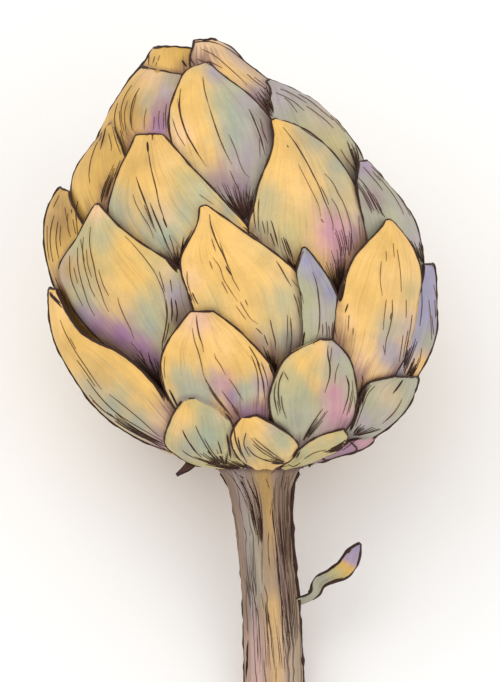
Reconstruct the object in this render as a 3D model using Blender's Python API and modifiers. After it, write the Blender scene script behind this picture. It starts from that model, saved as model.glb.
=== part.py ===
"""A globe artichoke, cut with a length of its stem and lying on its side.

The head is a bud whose bracts overlap like roof tiles: each one grows from deep in the bud, rises under
the bracts below it, and ends in a tip that lies on the bracts above it. It is modelled upright, in the
plant's own frame: the neck at the origin, +Z up the head, and -Y towards the side that is shown. An empty
then lays the plant down, so that it rests on a flat spot on the head and on the end of the stem. Lengths
are in metres unless a name says otherwise.
"""

import math
import random
from collections import namedtuple

import bmesh
import bpy
from mathutils import Matrix, Vector

MM = 0.001

# The head's form, which the bracts lie on
HEAD_HEIGHT = 107 * MM

# The form level by level, in mm: the level's height, how far its middle leans sideways, and its radius
HEAD_LEVELS_MM = (
    (0, 0, 9.8), (2, -1.4, 17.0), (7, -2.0, 28.9), (12, -2.4, 35.9), (17, -2.9, 40.2), (22, -3.3, 43.2),
    (32, -3.9, 47.3), (42, -4.9, 48.5), (52, -6.0, 49.2), (62, -7.6, 47.1), (72, -9.7, 41.2),
    (82, -9.2, 34.2), (92, -11.6, 25.8), (98, -15.6, 17.8), (102, -17.2, 12.6), (105, -17.9, 9.2),
    (107, -18.2, 0),
)  # fmt: skip

# The bud inside it, which the bracts grow from
BUD_INSET = 7.5 * MM
BUD_FOOT_RADIUS = 9.6 * MM
BUD_WAIST_RADIUS = 13 * MM
BUD_WAIST_HEIGHT = 4 * MM
BUD_SIDES = 24

# Bracts
BRACT_TIP_THICKNESS = 1.1 * MM
BRACT_FOOT_THICKNESS = 8 * MM
BRACT_SINK_SHARE = 0.15
LEAST_SINK = 1.0 * MM
SINK_PER_HEIGHT = 0.55
BRACT_RISE = 1.0 * MM
BRACT_TUCK = 1.7 * MM
TUCK_START = 0.66
BRACT_CUP = 1.3 * MM
BRACT_KEEL = 0.4 * MM
ACROSS_CELLS = 4
ALONG_ROWS = (0.0, 0.3, 0.55, 0.75, 0.9, 1.0)

# The dried spur that hangs under the lowest bract on the left: its root, its bend and its tip
SPUR_LINE_MM = ((-15.0, -1.0, 5.0), (-18.2, -4.0, 0.4), (-21.3, -5.0, -1.8))
SPUR_WIDTHS_MM = (3.4, 2.4, 0.7)
SPUR_TWIST_DEG = (0, 20, 40)
SPUR_THICKNESS = 0.8 * MM

# Stem
STEM_LENGTH = 61 * MM
STEM_RADIUS = 7.3 * MM
STEM_FLARE = 2.6 * MM
STEM_FLARE_LENGTH = 7 * MM
STEM_BEND = 3.2 * MM
STEM_RIBS = 9
STEM_RIB_DEPTH = 0.35 * MM
STEM_SIDES = 36
STEM_RINGS = 14
NECK_GAP = 0.3 * MM
SHARP_ANGLE = math.radians(40)

# The curled leaf on the stem, from its root inside the stem to its tip
LEAF_LINE_MM = (
    (5.5, 0, -33.8), (12.2, 0, -31.8), (14.5, 0, -28.8), (17.6, 0, -27.2),
    (20.3, 0, -25.3), (22.0, 0, -22.6), (23.4, 0, -20.4), (24.4, 0, -19.0),
)  # fmt: skip
LEAF_WIDTHS_MM = (3.8, 2.2, 3.2, 3.6, 4.2, 4.3, 2.6, 0.5)
LEAF_TWIST_DEG = (60, 35, -25, -30, 10, 25, 20, 20)
LEAF_THICKNESS = 1.0 * MM
STRIP_CELLS = 4
STRIP_FOLD = 0.4

# How it lies
LYING_TILT = math.radians(23.65)
FLAT_DEPTH = 1.5 * MM
GROUND_SIZE = 0.4

# The bracts on the shown side, from the crown down: the left and the right margin of each from its foot to its
# tip, as turns round the head from the shown side in degrees and heights in mm, and how far it is lifted in mm
Bract = namedtuple("Bract", "left right lift")

SHOWN_BRACTS = (
    Bract(((-28, 86), (-39, 94), (-52, 100), (-90, 105)),
          ((-16, 86), (-9, 94), (3, 100.5), (2, 105)), 0.0),
    Bract(((8, 79.5), (3, 87.5), (-2, 96), (-4, 101.5), (8, 106)),
          ((85, 74), (96, 84), (99, 95), (96, 103), (80, 106)), 0.0),
    Bract(((-5, 60), (-12, 71), (-24, 82), (-26, 91), (-11, 98.5), (8, 100.5)),
          ((6, 60), (17, 68), (25, 78), (26, 87), (21, 94), (15, 101)), 0.5),
    Bract(((-18, 58), (-26, 66), (-41, 77), (-92, 84), (-92, 93), (-84, 101)),
          ((-10, 58), (-6, 72), (-7, 82), (-8, 91), (-12, 99)), 0.2),
    Bract(((31, 61), (30, 69.5), (27, 78), (26, 86.5), (32, 92), (58, 97)),
          ((84, 47), (94, 56), (96, 68), (96, 80), (92, 91), (70, 97.5)), 0.2),
    Bract(((16, 33), (7, 49.5), (5, 60.5), (10, 68), (19, 79.5), (24, 87)),
          ((33, 33), (49, 51), (54, 62), (54, 74), (41, 84), (28, 87)), 0.0),
    Bract(((-40, 37), (-52, 49.5), (-60, 60), (-69, 69), (-78, 78), (-69, 86)),
          ((-29, 37), (-27, 49.5), (-27, 61), (-31, 71), (-46, 79.5), (-64, 86.5)), 0.0),
    Bract(((-19, 29.5), (-28, 42), (-36, 52.5), (-43, 63), (-42, 71.5), (-43, 83.5)),
          ((-10, 29.5), (1, 41), (6, 51.5), (6, 60), (-6, 72), (-28, 83.5)), 0.0),
    Bract(((37, 34.5), (40, 44.5), (43, 56), (46, 64), (53, 71), (65, 77)),
          ((88, 24), (95, 34), (97, 44), (97, 56), (96, 68), (92, 77.5)), 0.2),
    Bract(((-72, 22), (-84, 30), (-96, 42), (-97, 54), (-95, 64), (-82, 70.5)),
          ((-44, 24.5), (-47, 34.5), (-49, 44.5), (-50, 53), (-54, 61.5), (-68, 69.5)), 0.0),
    Bract(((-40, 11), (-54, 27), (-71, 41), (-73, 48), (-56, 57), (-48, 66)),
          ((-19, 11), (-15, 27), (-16, 39), (-18, 49), (-31, 57), (-46, 66)), 0.0),
    Bract(((-1, 11), (-12, 28), (-16, 41), (-17, 51.5), (-11, 60), (-9, 65)),
          ((15, 11), (20, 29.5), (20, 41.5), (17, 49), (3, 59), (-7, 65.5)), 0.6),
    Bract(((36, 7), (29, 21), (28, 32), (30, 42), (37, 53), (55, 62)),
          ((72, 6), (62, 18), (65, 29.5), (69, 41), (66, 52.5), (58, 62)), 0.5),
    Bract(((22, 9.5), (19, 19.5), (18, 32), (18, 42), (17, 49), (20, 55)),
          ((31, 9.5), (30, 21), (30, 33), (30, 42.5), (25, 50), (21, 55)), 0.0),
    Bract(((51, 9.5), (54, 17), (55, 26), (57, 34.5), (62, 43), (68, 51)),
          ((80, 4), (94, 11), (97, 20), (97, 31), (96, 42), (91, 51)), 0.0),
    Bract(((-62, 1.5), (-92, 6), (-97, 15), (-97, 27), (-95, 38), (-84, 45)),
          ((-27, 1.5), (-29, 9.5), (-32, 18), (-42, 27.5), (-60, 34), (-74, 44.5)), 0.3),
    Bract(((-20, 1.5), (-28, 7.5), (-30, 15), (-30, 22.5), (-26, 30), (-16, 39)),
          ((-1, 1.5), (6, 7.5), (7, 15), (8, 24), (-1, 33.5), (-9, 39)), 0.4),
    Bract(((27, 1), (14, 6), (8, 12), (7, 19), (12, 27.5), (23, 32)),
          ((50, 1), (48, 5), (45, 11), (40, 19), (34, 27), (27, 32)), 0.4),
    Bract(((52, 1), (48, 5), (44, 9.5), (43, 15), (45, 21), (58, 22.5)),
          ((58, 1.5), (74, 3), (90, 6), (98, 11), (92, 17), (82, 22.5)), 0.0),
    Bract(((-37, 0.5), (-90, 1), (-65, 4), (-41, 9.5), (-24, 17.5)),
          ((-14, 0.5), (-10, 4), (-8, 9.5), (-10, 14.5), (-18, 18)), 0.9),
    Bract(((-6, 0.5), (-12, 2), (-12, 6), (-8, 10.5), (-4, 13)),
          ((17, 0.5), (28, 2), (25, 5.5), (13, 10), (2, 13.5)), 1.1),
    Bract(((24, 0.5), (29, 2), (26, 5), (30, 8.5), (42, 10)),
          ((36, 0.5), (52, 1), (58, 3), (55, 5), (50, 8)), 1.0),
    Bract(((49, 1), (53, 3.5), (54, 6.5), (68, 8)),
          ((60, 1), (92, 2), (104, 4.5), (96, 8)), 0.4),
)  # fmt: skip

# Rings of bracts that close the head behind, in mm: height of the tips, drop to the feet, half width and lift,
# and the turns at which the bracts stand, in degrees
Ring = namedtuple("Ring", "tip_height drop half_width lift turns")

HIDDEN_RINGS = (
    Ring(105.5, 34, 14.0, 0.0, (128, 188, 244)),
    Ring(97.0, 44, 16.0, -0.6, (118, 178, 236)),
    Ring(91.0, 46, 15.5, -1.6, (258,)),
    Ring(86.0, 46, 18.0, -0.4, (148, 210)),
    Ring(76.0, 47, 19.0, -0.6, (114, 180, 236)),
    Ring(64.0, 48, 20.0, 0.0, (150, 208, 254)),
    Ring(54.0, 44, 18.0, 0.0, (118, 180, 230)),
    Ring(42.0, 38, 17.0, 0.0, (150, 200, 245)),
    Ring(31.0, 28, 15.0, 0.0, (122, 178, 226)),
    Ring(19.0, 17.8, 12.0, 0.3, (108, 152, 198, 246)),
    Ring(9.5, 8.5, 9.5, 0.6, (130, 176, 222)),
)
TURN_JITTER_DEG = 3
HEIGHT_JITTER_MM = 1.2

# Half width of a hidden bract at even steps from its foot to its tip, as a share of its ring's half width
HIDDEN_WIDTHS = (0.5, 0.85, 1.0, 0.9, 0.6, 0.06)


def lerp(low, high, share):
    """The value at a share of the way from low to high."""
    return low + (high - low) * share


# The head's form


def meridian(height):
    """Angle of a height on the head, 0 at the neck and pi at the crown, so that steps stay even near both."""
    return math.acos(1 - 2 * min(max(height / HEAD_HEIGHT, 0.0), 1.0))


def level(angle, column):
    """A smooth value from the form's levels at a meridian angle, and how fast it changes with the angle."""
    angles = [meridian(row[0] * MM) for row in HEAD_LEVELS_MM]
    values = [row[column] * MM for row in HEAD_LEVELS_MM]
    last = len(angles) - 1
    index = 0
    while index < last - 1 and angle > angles[index + 1]:
        index += 1
    slopes = []
    for place in (index, index + 1):
        low, high = max(place - 1, 0), min(place + 1, last)
        slopes.append((values[high] - values[low]) / (angles[high] - angles[low]))
    width = angles[index + 1] - angles[index]
    share = (angle - angles[index]) / width
    bend = slopes[0] + slopes[1] - 2 * (values[index + 1] - values[index]) / width
    start = (values[index + 1] - values[index]) / width - slopes[0]
    value = values[index] + width * share * (slopes[0] + share * (start - bend * (1 - share)))
    change = slopes[0] + share * (2 * (start - bend) + 3 * share * bend)
    return value, change


def girth(height):
    """Radius of the head's form at a height above the neck."""
    return level(meridian(height), 2)[0]


def lean(height):
    """How far the middle of the head's form leans sideways at a height above the neck."""
    return level(meridian(height), 1)[0]


def on_form(turn, angle, proud):
    """The point at a turn round the head and a meridian angle, at a distance outside the head's form."""
    middle, middle_change = level(angle, 1)
    radius, radius_change = level(angle, 2)
    height = HEAD_HEIGHT * (1 - math.cos(angle)) / 2
    height_change = HEAD_HEIGHT * math.sin(angle) / 2
    outward = Vector((math.sin(turn), -math.cos(turn), 0))
    normal = outward * height_change - Vector((0, 0, radius_change + middle_change * math.sin(turn)))
    return Vector((middle, 0, height)) + outward * radius + normal.normalized() * proud


# Bracts


def through(points, place):
    """A smooth curve through points, at a place counted in points from the first one."""
    index = min(int(place), len(points) - 2)
    share = place - index
    near = [points[min(max(index + step, 0), len(points) - 1)] for step in (-1, 0, 1, 2)]
    weights = (
        ((2 - share) * share - 1) * share / 2,
        ((3 * share - 5) * share * share + 2) / 2,
        ((4 - 3 * share) * share + 1) * share / 2,
        (share - 1) * share * share / 2,
    )
    return [sum(weight * point[axis] for weight, point in zip(weights, near)) for axis in (0, 1)]


def margin(points, along):
    """Turn and meridian angle of a margin at a share of its length."""
    angles = [(math.radians(turn), meridian(height * MM)) for turn, height in points]
    spots = [on_form(turn, angle, 0) for turn, angle in angles]
    steps = [(far - near).length for near, far in zip(spots, spots[1:])]
    distance = along * sum(steps)
    index = 0
    while index < len(steps) - 1 and distance > steps[index]:
        distance -= steps[index]
        index += 1
    return through(angles, index + distance / steps[index])


def midpoint(bract, along):
    """Point of the head's form halfway between a bract's margins."""
    left, right = margin(bract.left, along), margin(bract.right, along)
    return on_form((left[0] + right[0]) / 2, (left[1] + right[1]) / 2, 0)


def stand(bract, across, along):
    """How far a bract stands proud of the form: sunk at its foot, cupped, keeled, and tucked in at its tip."""
    foot = midpoint(bract, 0)
    length = (midpoint(bract, 1) - foot).length
    sink = min(BRACT_SINK_SHARE * length, LEAST_SINK + SINK_PER_HEIGHT * foot.z)
    slope = BRACT_RISE + bract.lift * MM - sink * (1 - along) ** 1.35
    slope -= BRACT_TUCK * max(0.0, (along - TUCK_START) / (1 - TUCK_START)) ** 2
    cup = BRACT_CUP * abs(across) ** 2.2 * math.sin(math.pi * min(along, 0.97)) ** 0.5
    keel = BRACT_KEEL * max(0.0, 1 - abs(across) * 4)
    return slope - cup + keel


def bract_point(bract, across, along):
    """The point of a bract's outer face at a share of its length, and from -1 to 1 across it."""
    left, right = margin(bract.left, along), margin(bract.right, along)
    share = (across + 1) / 2
    turn = lerp(left[0], right[0], share)
    angle = lerp(left[1], right[1], share)
    return on_form(turn, angle, stand(bract, across, along))


def bract_object(bract, name, collection):
    """One bract: a grid laid on the head, given its thickness by Solidify."""
    grid = bmesh.new()
    bmesh.ops.create_grid(
        grid, x_segments=ACROSS_CELLS, y_segments=len(ALONG_ROWS) - 1, size=1
    )
    row_of_vertex = []
    for vertex in grid.verts:
        row = round((vertex.co.y + 1) / 2 * (len(ALONG_ROWS) - 1))
        row_of_vertex.append(ALONG_ROWS[row])
        vertex.co = bract_point(bract, vertex.co.x, ALONG_ROWS[row])
    bmesh.ops.triangulate(grid, faces=grid.faces)
    mesh = bpy.data.meshes.new(name)
    grid.to_mesh(mesh)
    grid.free()
    obj = bpy.data.objects.new(name, mesh)
    collection.objects.link(obj)
    depth = obj.vertex_groups.new(name="depth")
    for vertex, along in enumerate(row_of_vertex):
        depth.add([vertex], lerp(1, BRACT_TIP_THICKNESS / BRACT_FOOT_THICKNESS, along), "REPLACE")
    shell = obj.modifiers.new("thickness", "SOLIDIFY")
    shell.thickness = BRACT_FOOT_THICKNESS
    shell.offset = -1
    shell.vertex_group = depth.name
    return obj


def hidden_bracts():
    """The bracts behind, ring by ring, each a little off its place as on a grown head."""
    chance = random.Random(7)
    for ring in HIDDEN_RINGS:
        for turn in ring.turns:
            turn += chance.uniform(-TURN_JITTER_DEG, TURN_JITTER_DEG)
            tip = ring.tip_height + chance.uniform(-HEIGHT_JITTER_MM, 0)
            left, right = [], []
            for step, width in enumerate(HIDDEN_WIDTHS):
                height = tip - ring.drop * (1 - step / (len(HIDDEN_WIDTHS) - 1))
                half = ring.half_width * width
                reach = math.degrees(half / max(girth(height * MM) / MM, half * 0.9))
                left.append((turn - reach, height))
                right.append((turn + reach, height))
            yield Bract(left, right, ring.lift)


# Folded strips: the spur and the leaf


def strip_object(name, midline, widths, twists, thickness, collection):
    """A narrow folded strip along a midline, with a width and a twist in degrees at each of its points."""
    points = [Vector(point) * MM for point in midline]
    rows = len(points)
    strip = bmesh.new()
    bmesh.ops.create_grid(strip, x_segments=STRIP_CELLS, y_segments=rows - 1, size=1)
    for vertex in strip.verts:
        row = round((vertex.co.y + 1) / 2 * (rows - 1))
        ahead = points[min(row + 1, rows - 1)] - points[max(row - 1, 0)]
        twist = Matrix.Rotation(math.radians(twists[row]), 3, ahead)
        side = twist @ Vector((0, 1, 0)).cross(ahead).normalized()
        fold = side.cross(ahead).normalized()
        half = widths[row] * MM / 2
        share = vertex.co.x
        vertex.co = points[row] + side * share * half + fold * share**2 * half * STRIP_FOLD
    bmesh.ops.triangulate(strip, faces=strip.faces)
    mesh = bpy.data.meshes.new(name)
    strip.to_mesh(mesh)
    strip.free()
    obj = bpy.data.objects.new(name, mesh)
    collection.objects.link(obj)
    shell = obj.modifiers.new("thickness", "SOLIDIFY")
    shell.thickness = thickness
    shell.offset = 0


# Head


def bud_object(collection):
    """The bud: a turned profile with a flat foot, inset from the head's form and leaning with it."""
    profile = [(0.0, HEAD_HEIGHT - BUD_INSET)]
    for step in range(1, 12):
        angle = math.pi * (1 - step / 13)
        point = on_form(0, angle, -BUD_INSET)
        profile.append((-point.y, point.z))
    profile += [
        (BUD_WAIST_RADIUS, BUD_WAIST_HEIGHT),
        (BUD_FOOT_RADIUS, 0.0),
        (0.0, 0.0),
    ]
    mesh = bpy.data.meshes.new("bud")
    edges = [(i, i + 1) for i in range(len(profile) - 1)]
    mesh.from_pydata([(radius, 0, height) for radius, height in profile], edges, [])
    bud = bpy.data.objects.new("bud", mesh)
    collection.objects.link(bud)
    screw = bud.modifiers.new("turn", "SCREW")
    screw.steps = screw.render_steps = BUD_SIDES
    screw.use_merge_vertices = True
    screw.merge_threshold = 0.0001
    turned = applied(bud, "head")
    for vertex in turned.data.vertices:
        vertex.co.x += lean(vertex.co.z)
    return turned


def applied(obj, name):
    """A new object with obj's modifiers made real, in obj's collections, in place of obj."""
    graph = bpy.context.evaluated_depsgraph_get()
    mesh = bpy.data.meshes.new_from_object(obj.evaluated_get(graph))
    made = bpy.data.objects.new(name, mesh)
    for collection in obj.users_collection:
        collection.objects.link(made)
    made.parent = obj.parent
    made.matrix_world = obj.matrix_world
    bpy.data.objects.remove(obj)
    made.name = name
    mesh.name = name
    return made


def fused(obj, others):
    """obj joined with every object of a collection, which is then removed."""
    join = obj.modifiers.new("join", "BOOLEAN")
    join.operation = "UNION"
    join.operand_type = "COLLECTION"
    join.collection = others
    join.solver = "MANIFOLD"
    made = applied(obj, obj.name)
    for other in list(others.objects):
        bpy.data.objects.remove(other)
    bpy.data.collections.remove(others)
    return made


def largest_island(obj):
    """Fills the hollows that fusing sealed, and drops loose scraps: only the largest connected skin stays."""
    shape = bmesh.new()
    shape.from_mesh(obj.data)
    islands = []
    waiting = set(shape.verts)
    while waiting:
        reached = [waiting.pop()]
        island = []
        while reached:
            vertex = reached.pop()
            island.append(vertex)
            near = {edge.other_vert(vertex) for edge in vertex.link_edges} & waiting
            waiting -= near
            reached.extend(near)
        islands.append(island)
    islands.sort(key=len)
    for island in islands[:-1]:
        bmesh.ops.delete(shape, geom=island, context="VERTS")
    shape.to_mesh(obj.data)
    shape.free()


def new_collection(name):
    collection = bpy.data.collections.new(name)
    bpy.context.scene.collection.children.link(collection)
    return collection


def head_object(plant):
    """The bud with all its bracts, in one body."""
    bud = bud_object(plant)
    growing = new_collection("growing bracts")
    bracts = [*SHOWN_BRACTS, *hidden_bracts()]
    for number, bract in enumerate(bracts, 1):
        bract_object(bract, f"bract_{number:02d}", growing)
    strip_object("spur", SPUR_LINE_MM, SPUR_WIDTHS_MM, SPUR_TWIST_DEG, SPUR_THICKNESS, growing)
    head = fused(bud, growing)
    largest_island(head)
    return head


# Stem


def stem_point(side, height):
    """A point of the stem's skin: flared at the neck, ribbed, and bent a little along its length."""
    below = -height
    flare = STEM_FLARE * math.exp(-below / STEM_FLARE_LENGTH)
    radius = STEM_RADIUS + flare + STEM_RIB_DEPTH * math.cos(STEM_RIBS * side)
    bend = STEM_BEND * math.sin(math.pi / 2 * below / STEM_LENGTH)
    return Vector((bend + radius * math.cos(side), radius * math.sin(side), height))


def stem_object(plant):
    """The stem: a cylinder cut into rings, with its skin moved out by stem_point."""
    shape = bmesh.new()
    bmesh.ops.create_cone(
        shape, cap_ends=True, segments=STEM_SIDES, radius1=1, radius2=1, depth=1
    )
    uprights = [edge for edge in shape.edges if abs(edge.verts[0].co.z - edge.verts[1].co.z) > 0.5]
    bmesh.ops.subdivide_edges(shape, edges=uprights, cuts=STEM_RINGS - 1)
    for vertex in shape.verts:
        side = math.atan2(vertex.co.y, vertex.co.x)
        down = 0.5 - vertex.co.z
        vertex.co = stem_point(side, -NECK_GAP - (STEM_LENGTH - NECK_GAP) * down)
    mesh = bpy.data.meshes.new("stem")
    shape.to_mesh(mesh)
    shape.free()
    stem = bpy.data.objects.new("stem", mesh)
    plant.objects.link(stem)
    growing = new_collection("growing leaf")
    strip_object("leaf", LEAF_LINE_MM, LEAF_WIDTHS_MM, LEAF_TWIST_DEG, LEAF_THICKNESS, growing)
    stem = fused(stem, growing)
    stem.data.polygons.foreach_set("use_smooth", [True] * len(stem.data.polygons))
    stem.data.set_sharp_from_angle(angle=SHARP_ANGLE)
    return stem


# How it lies


def corners(objects):
    """Lowest and highest corner of the objects in the world."""
    points = [obj.matrix_world @ vertex.co for obj in objects for vertex in obj.data.vertices]
    low = Vector([min(point[axis] for point in points) for axis in range(3)])
    high = Vector([max(point[axis] for point in points) for axis in range(3)])
    return low, high


def lay_down(head, stem):
    """Parents the pieces to an empty that lays the plant on its side, centred over the origin."""
    rest = bpy.data.objects.new("rest", None)
    bpy.context.scene.collection.objects.link(rest)
    rest.rotation_euler.x = LYING_TILT - math.pi / 2
    head.parent = stem.parent = rest
    bpy.context.view_layer.update()
    low, high = corners([head, stem])
    rest.location = (-(low.x + high.x) / 2, -(low.y + high.y) / 2, -corners([head])[0].z - FLAT_DEPTH)
    bpy.context.view_layer.update()


def ground_object():
    """A block under the ground, which cuts the flat spots that the plant rests on."""
    helpers = new_collection("cutters")
    bpy.ops.mesh.primitive_cube_add(size=GROUND_SIZE, location=(0, 0, -GROUND_SIZE / 2))
    ground = bpy.context.object
    ground.name = "ground"
    for collection in list(ground.users_collection):
        collection.objects.unlink(ground)
    helpers.objects.link(ground)
    ground.hide_render = True
    ground.display_type = "WIRE"
    return ground


def flatten(obj, ground):
    """Cuts away what lies below the ground, and drops any scrap that the cut frees."""
    cut = obj.modifiers.new("flat spot", "BOOLEAN")
    cut.operation = "DIFFERENCE"
    cut.object = ground
    cut.solver = "MANIFOLD"
    largest_island(applied(obj, obj.name))


# Colours


def finish(name, colour, roughness):
    """A material with one colour and roughness and no metal in it."""
    material = bpy.data.materials.new(name)
    material.use_nodes = True
    shader = material.node_tree.nodes["Principled BSDF"]
    shader.inputs["Base Color"].default_value = (*colour, 1)
    shader.inputs["Roughness"].default_value = roughness
    shader.inputs["Metallic"].default_value = 0
    material.diffuse_color = (*colour, 1)
    return material


def main():
    for old in list(bpy.data.objects):
        bpy.data.objects.remove(old)
    plant = new_collection("artichoke")
    head = head_object(plant)
    stem = stem_object(plant)
    head.data.materials.append(finish("bract skin", (0.72, 0.58, 0.27), 0.55))
    stem.data.materials.append(finish("stem skin", (0.48, 0.42, 0.36), 0.6))
    lay_down(head, stem)
    ground = ground_object()
    flatten(head, ground)
    flatten(stem, ground)


main()
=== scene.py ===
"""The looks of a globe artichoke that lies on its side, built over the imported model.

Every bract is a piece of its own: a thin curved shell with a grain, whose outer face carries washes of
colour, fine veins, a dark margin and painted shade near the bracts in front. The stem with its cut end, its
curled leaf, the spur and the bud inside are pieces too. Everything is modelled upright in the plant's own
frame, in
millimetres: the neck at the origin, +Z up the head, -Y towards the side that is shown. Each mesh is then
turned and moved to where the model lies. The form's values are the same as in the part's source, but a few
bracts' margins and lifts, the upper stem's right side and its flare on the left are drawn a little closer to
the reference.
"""

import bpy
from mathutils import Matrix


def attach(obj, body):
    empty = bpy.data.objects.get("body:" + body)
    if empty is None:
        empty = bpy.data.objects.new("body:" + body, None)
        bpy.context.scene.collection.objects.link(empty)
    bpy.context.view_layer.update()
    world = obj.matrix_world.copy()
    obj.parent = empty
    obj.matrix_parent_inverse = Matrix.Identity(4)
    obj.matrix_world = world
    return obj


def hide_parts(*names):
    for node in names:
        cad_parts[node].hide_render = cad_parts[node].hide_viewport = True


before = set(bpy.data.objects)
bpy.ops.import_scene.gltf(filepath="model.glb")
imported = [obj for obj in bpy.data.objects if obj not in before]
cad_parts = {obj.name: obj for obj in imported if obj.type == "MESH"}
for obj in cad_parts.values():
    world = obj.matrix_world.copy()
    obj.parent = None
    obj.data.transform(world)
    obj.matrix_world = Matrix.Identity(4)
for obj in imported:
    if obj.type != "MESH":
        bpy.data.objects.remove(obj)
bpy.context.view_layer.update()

import math
import random
from collections import namedtuple

import bpy
import numpy as np
from mathutils import Matrix, Vector
from mathutils.bvhtree import BVHTree

MM = 0.001

# Where the plant lies: its tilt up from the surface, and its neck in the model's frame
LYING_TILT = math.radians(23.65)
NECK_PLACE = (0.005338, -0.020230, 0.030165)

# The head's form level by level: the level's height, how far its middle leans sideways, and its radius
HEAD_HEIGHT = 107.0
HEAD_LEVELS = (
    (0, 0, 9.8), (2, -1.4, 17.0), (7, -2.0, 28.9), (12, -2.4, 35.9), (17, -2.9, 40.2), (22, -3.3, 43.2),
    (32, -3.9, 47.3), (42, -4.9, 48.5), (52, -6.0, 49.2), (62, -7.6, 47.1), (72, -9.7, 41.2),
    (82, -9.2, 34.2), (92, -11.6, 25.8), (98, -15.6, 17.8), (102, -17.2, 12.6), (105, -17.9, 9.2),
    (107, -18.2, 0),
)  # fmt: skip

# How the bracts lie on it
BRACT_SINK_SHARE = 0.15
LEAST_SINK = 1.0
SINK_PER_HEIGHT = 0.55
SINK_CURVE = 1.35
BRACT_RISE = 1.0
BRACT_TUCK = 1.7
TUCK_START = 0.66
BRACT_CUP = 1.3
CUP_CURVE = 2.2
BRACT_KEEL = 0.35
KEEL_WIDTH = 0.16
# Shown tips as high as this or higher aren't tucked in
CROWN_TIPS = 104.0

# Detail of a bract: lengths in mm, and how its cells crowd towards its margins and its tip
MARGIN_THICKNESS = 0.7
MIDDLE_THICKNESS = 2.4
RIB_HEIGHT = 0.07
RIBS_ACROSS = 11
RIB_SWAY = 1.3
RIB_SWAY_REACH = 9.0
DENTS = 0.22
MARGIN_WAVE = 0.25
WAVE_REACH = 2.2
COLUMN_CROWDING = 0.8
ROW_CROWDING = 0.85
SHARP_ANGLE = math.radians(50)
# Moves each bract's grain to a part of the materials' noise of its own
GRAIN_SHIFT = 17.3
# Cells across and along
SHOWN_CELLS = (40, 60)
HIDDEN_CELLS = (28, 40)

# The bud inside: plum, painted shade for the deep gaps between bracts, turning to ochre between two heights
BUD_INSET = 7.5
BUD_FOOT_INSET = 0.6
BUD_FOOT = -0.1
BUD_OCHRE = (84, 96)
BUD_SIDES = 72
BUD_RINGS = 48

# Stem
STEM_LENGTH = 61.0
STEM_RADIUS = 7.3
STEM_FLARE = 2.6
STEM_FLARE_LENGTH = 7.0
STEM_BEND = 3.2
STEM_RIBS = 9
STEM_RIB_DEPTH = 0.35
STEM_REACH = 0.4
# How far the right side is drawn in, at places below the neck, and the left side out at the neck
STEM_WAIST_PLACES = (0, 5, 10, 20, 35, 61)
STEM_WAIST = (0.7, 1.9, 2.1, 1.8, 0.8, 0.6)
STEM_FLARE_LEFT = 1.6
STEM_FLARE_LEFT_LENGTH = 2.5
STEM_SIDES = 180
STEM_RINGS = 150
# Its ends: how round the cut edge is, how hollow the cut face, and the rings that close each end
STEM_END_ROUND = 0.35
CUT_HOLLOW = 0.5
CAP_RINGS = 16

# The curled leaf on the stem and the spur under the head: places, widths and twists in degrees along their
# midlines, thickness, cells across and along, and paints at shares of their length
Strip = namedtuple("Strip", "line widths twists thickness cells paints")
LEAF = Strip(
    (
        (5.5, 0, -33.8), (12.2, 0, -31.8), (14.5, 0, -28.8), (17.6, 0, -27.2),
        (20.3, 0, -25.3), (22.0, 0, -22.6), (23.4, 0, -20.4), (24.4, 0, -19.0),
    ),
    (3.8, 2.2, 3.2, 3.6, 4.2, 4.3, 2.6, 0.5), (60, 35, -25, -30, 10, 25, 20, 20), 1.0, (14, 60),
    (
        (0, "sage_grey"), (0.35, "sage_grey"), (0.5, "olive"), (0.62, "ochre_deep"), (0.69, "lilac"),
        (1, "blue_lilac"),
    ),
)  # fmt: skip
SPUR = Strip(
    ((-15.0, -1.0, 5.0), (-18.2, -4.0, 0.4), (-21.3, -5.0, -1.8)),
    (3.4, 2.4, 0.7), (0, 20, 40), 0.8, (8, 24), ((0, "umber"), (1, "plum")),
)  # fmt: skip
STRIP_FOLD = 0.4
STRIP_RIPPLE = 0.10
STRIP_LEAST_WIDTH = 0.3

# Paints, as red, green and blue in sRGB
PAINTS = {
    "ochre": (0.930, 0.755, 0.445),
    "ochre_light": (0.955, 0.785, 0.515),
    "ochre_deep": (0.845, 0.680, 0.375),
    "olive": (0.770, 0.710, 0.500),
    "sage": (0.710, 0.700, 0.565),
    "sage_grey": (0.670, 0.665, 0.580),
    "teal_grey": (0.625, 0.680, 0.610),
    "lilac_grey": (0.690, 0.640, 0.650),
    "lilac": (0.680, 0.600, 0.680),
    "blue_lilac": (0.620, 0.600, 0.690),
    "purple_light": (0.640, 0.480, 0.600),
    "purple": (0.510, 0.350, 0.520),
    "plum": (0.300, 0.180, 0.230),
    "pink": (0.790, 0.590, 0.630),
    "peach": (0.950, 0.790, 0.620),
    "peach_pink": (0.900, 0.730, 0.620),
    "beige": (0.840, 0.730, 0.620),
    "mauve": (0.640, 0.510, 0.550),
    "mauve_grey": (0.660, 0.580, 0.580),
    "umber": (0.480, 0.360, 0.260),
    "faint_ink": (0.500, 0.380, 0.250),
    "ink": (0.185, 0.095, 0.100),
}
# How washes spread: wider and stronger than stated, a little taller than wide, with bled and streaked edges
WASH_REACH = 1.35
WASH_STRENGTH = 1.2
WASH_HEIGHT = 1.25
WASH_BLEED = 0.2
WASH_STREAK = 0.28
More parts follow.
